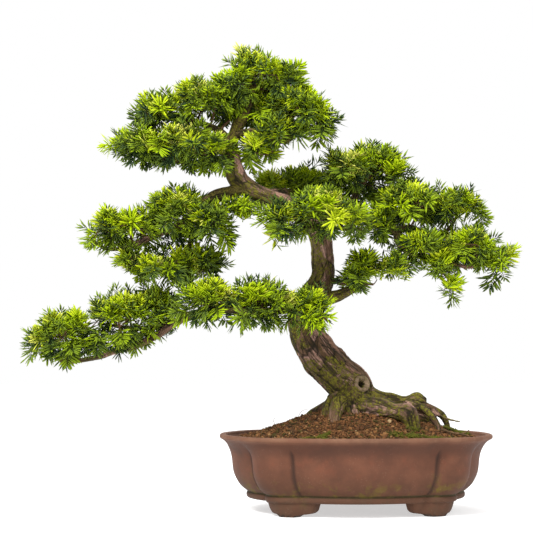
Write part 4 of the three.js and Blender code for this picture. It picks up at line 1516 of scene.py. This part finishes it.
class BONSAI_OT_drains(bpy.types.Operator):
    """Finish the drain screens and clips"""

    bl_idname = "bonsai.drains"
    bl_label = "Drain Fittings"

    def execute(self, context):
        finish_drains()
        return {"FINISHED"}


class BONSAI_OT_soil(bpy.types.Operator):
    """Make the heaped soil and its crumbs"""

    bl_idname = "bonsai.soil"
    bl_label = "Soil"

    def execute(self, context):
        make_soil(context.scene.bonsai_soil)
        return {"FINISHED"}


class BONSAI_OT_moss(bpy.types.Operator):
    """Make the patches of moss"""

    bl_idname = "bonsai.moss"
    bl_label = "Moss"

    def execute(self, context):
        make_moss(context.scene.bonsai_soil)
        return {"FINISHED"}


class BONSAI_OT_litter(bpy.types.Operator):
    """Make the twigs and stalks on the soil"""

    bl_idname = "bonsai.litter"
    bl_label = "Litter"

    def execute(self, context):
        make_litter()
        return {"FINISHED"}


class BONSAI_OT_trunk(bpy.types.Operator):
    """Make the trunk, its roots and its dead stub"""

    bl_idname = "bonsai.trunk"
    bl_label = "Trunk"

    def execute(self, context):
        make_trunk(context.scene.bonsai_wood)
        return {"FINISHED"}


class BONSAI_OT_limbs(bpy.types.Operator):
    """Make the limbs"""

    bl_idname = "bonsai.limbs"
    bl_label = "Limbs"

    def execute(self, context):
        make_limbs(context.scene.bonsai_wood)
        return {"FINISHED"}


class BONSAI_OT_foliage(bpy.types.Operator):
    """Make the twigs and needles"""

    bl_idname = "bonsai.foliage"
    bl_label = "Foliage"

    def execute(self, context):
        make_foliage(context.scene.bonsai_foliage)
        return {"FINISHED"}


class BONSAI_OT_stage(bpy.types.Operator):
    """Make the floor, the lights and the camera"""

    bl_idname = "bonsai.stage"
    bl_label = "Stage"

    def execute(self, context):
        set_stage(context.scene.bonsai_stage)
        return {"FINISHED"}


STEPS = (
    BONSAI_OT_pot,
    BONSAI_OT_drains,
    BONSAI_OT_soil,
    BONSAI_OT_moss,
    BONSAI_OT_litter,
    BONSAI_OT_trunk,
    BONSAI_OT_limbs,
    BONSAI_OT_foliage,
    BONSAI_OT_stage,
)
GROUPS = {
    "bonsai_pot": PotSettings,
    "bonsai_soil": SoilSettings,
    "bonsai_wood": WoodSettings,
    "bonsai_foliage": FoliageSettings,
    "bonsai_stage": StageSettings,
}


class BONSAI_PT_panel(bpy.types.Panel):
    """The settings of each group of pieces, and the buttons that make them"""

    bl_idname = "BONSAI_PT_panel"
    bl_label = "Bonsai"
    bl_space_type = "VIEW_3D"
    bl_region_type = "UI"
    bl_category = "Bonsai"

    def draw(self, context):
        for group, kind in GROUPS.items():
            box = self.layout.box()
            for name in kind.__annotations__:
                box.prop(getattr(context.scene, group), name)
        for step in STEPS:
            self.layout.operator(step.bl_idname)


def register():
    for kind in (*GROUPS.values(), *STEPS, BONSAI_PT_panel):
        bpy.utils.register_class(kind)
    for name, kind in GROUPS.items():
        setattr(bpy.types.Scene, name, bpy.props.PointerProperty(type=kind))


def unregister():
    for name in GROUPS:
        delattr(bpy.types.Scene, name)
    for kind in reversed((*GROUPS.values(), *STEPS, BONSAI_PT_panel)):
        bpy.utils.unregister_class(kind)


def main():
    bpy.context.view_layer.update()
    register()
    for step in STEPS:
        getattr(bpy.ops.bonsai, step.bl_idname.split(".")[1])()


if __name__ == "__main__":
    main()
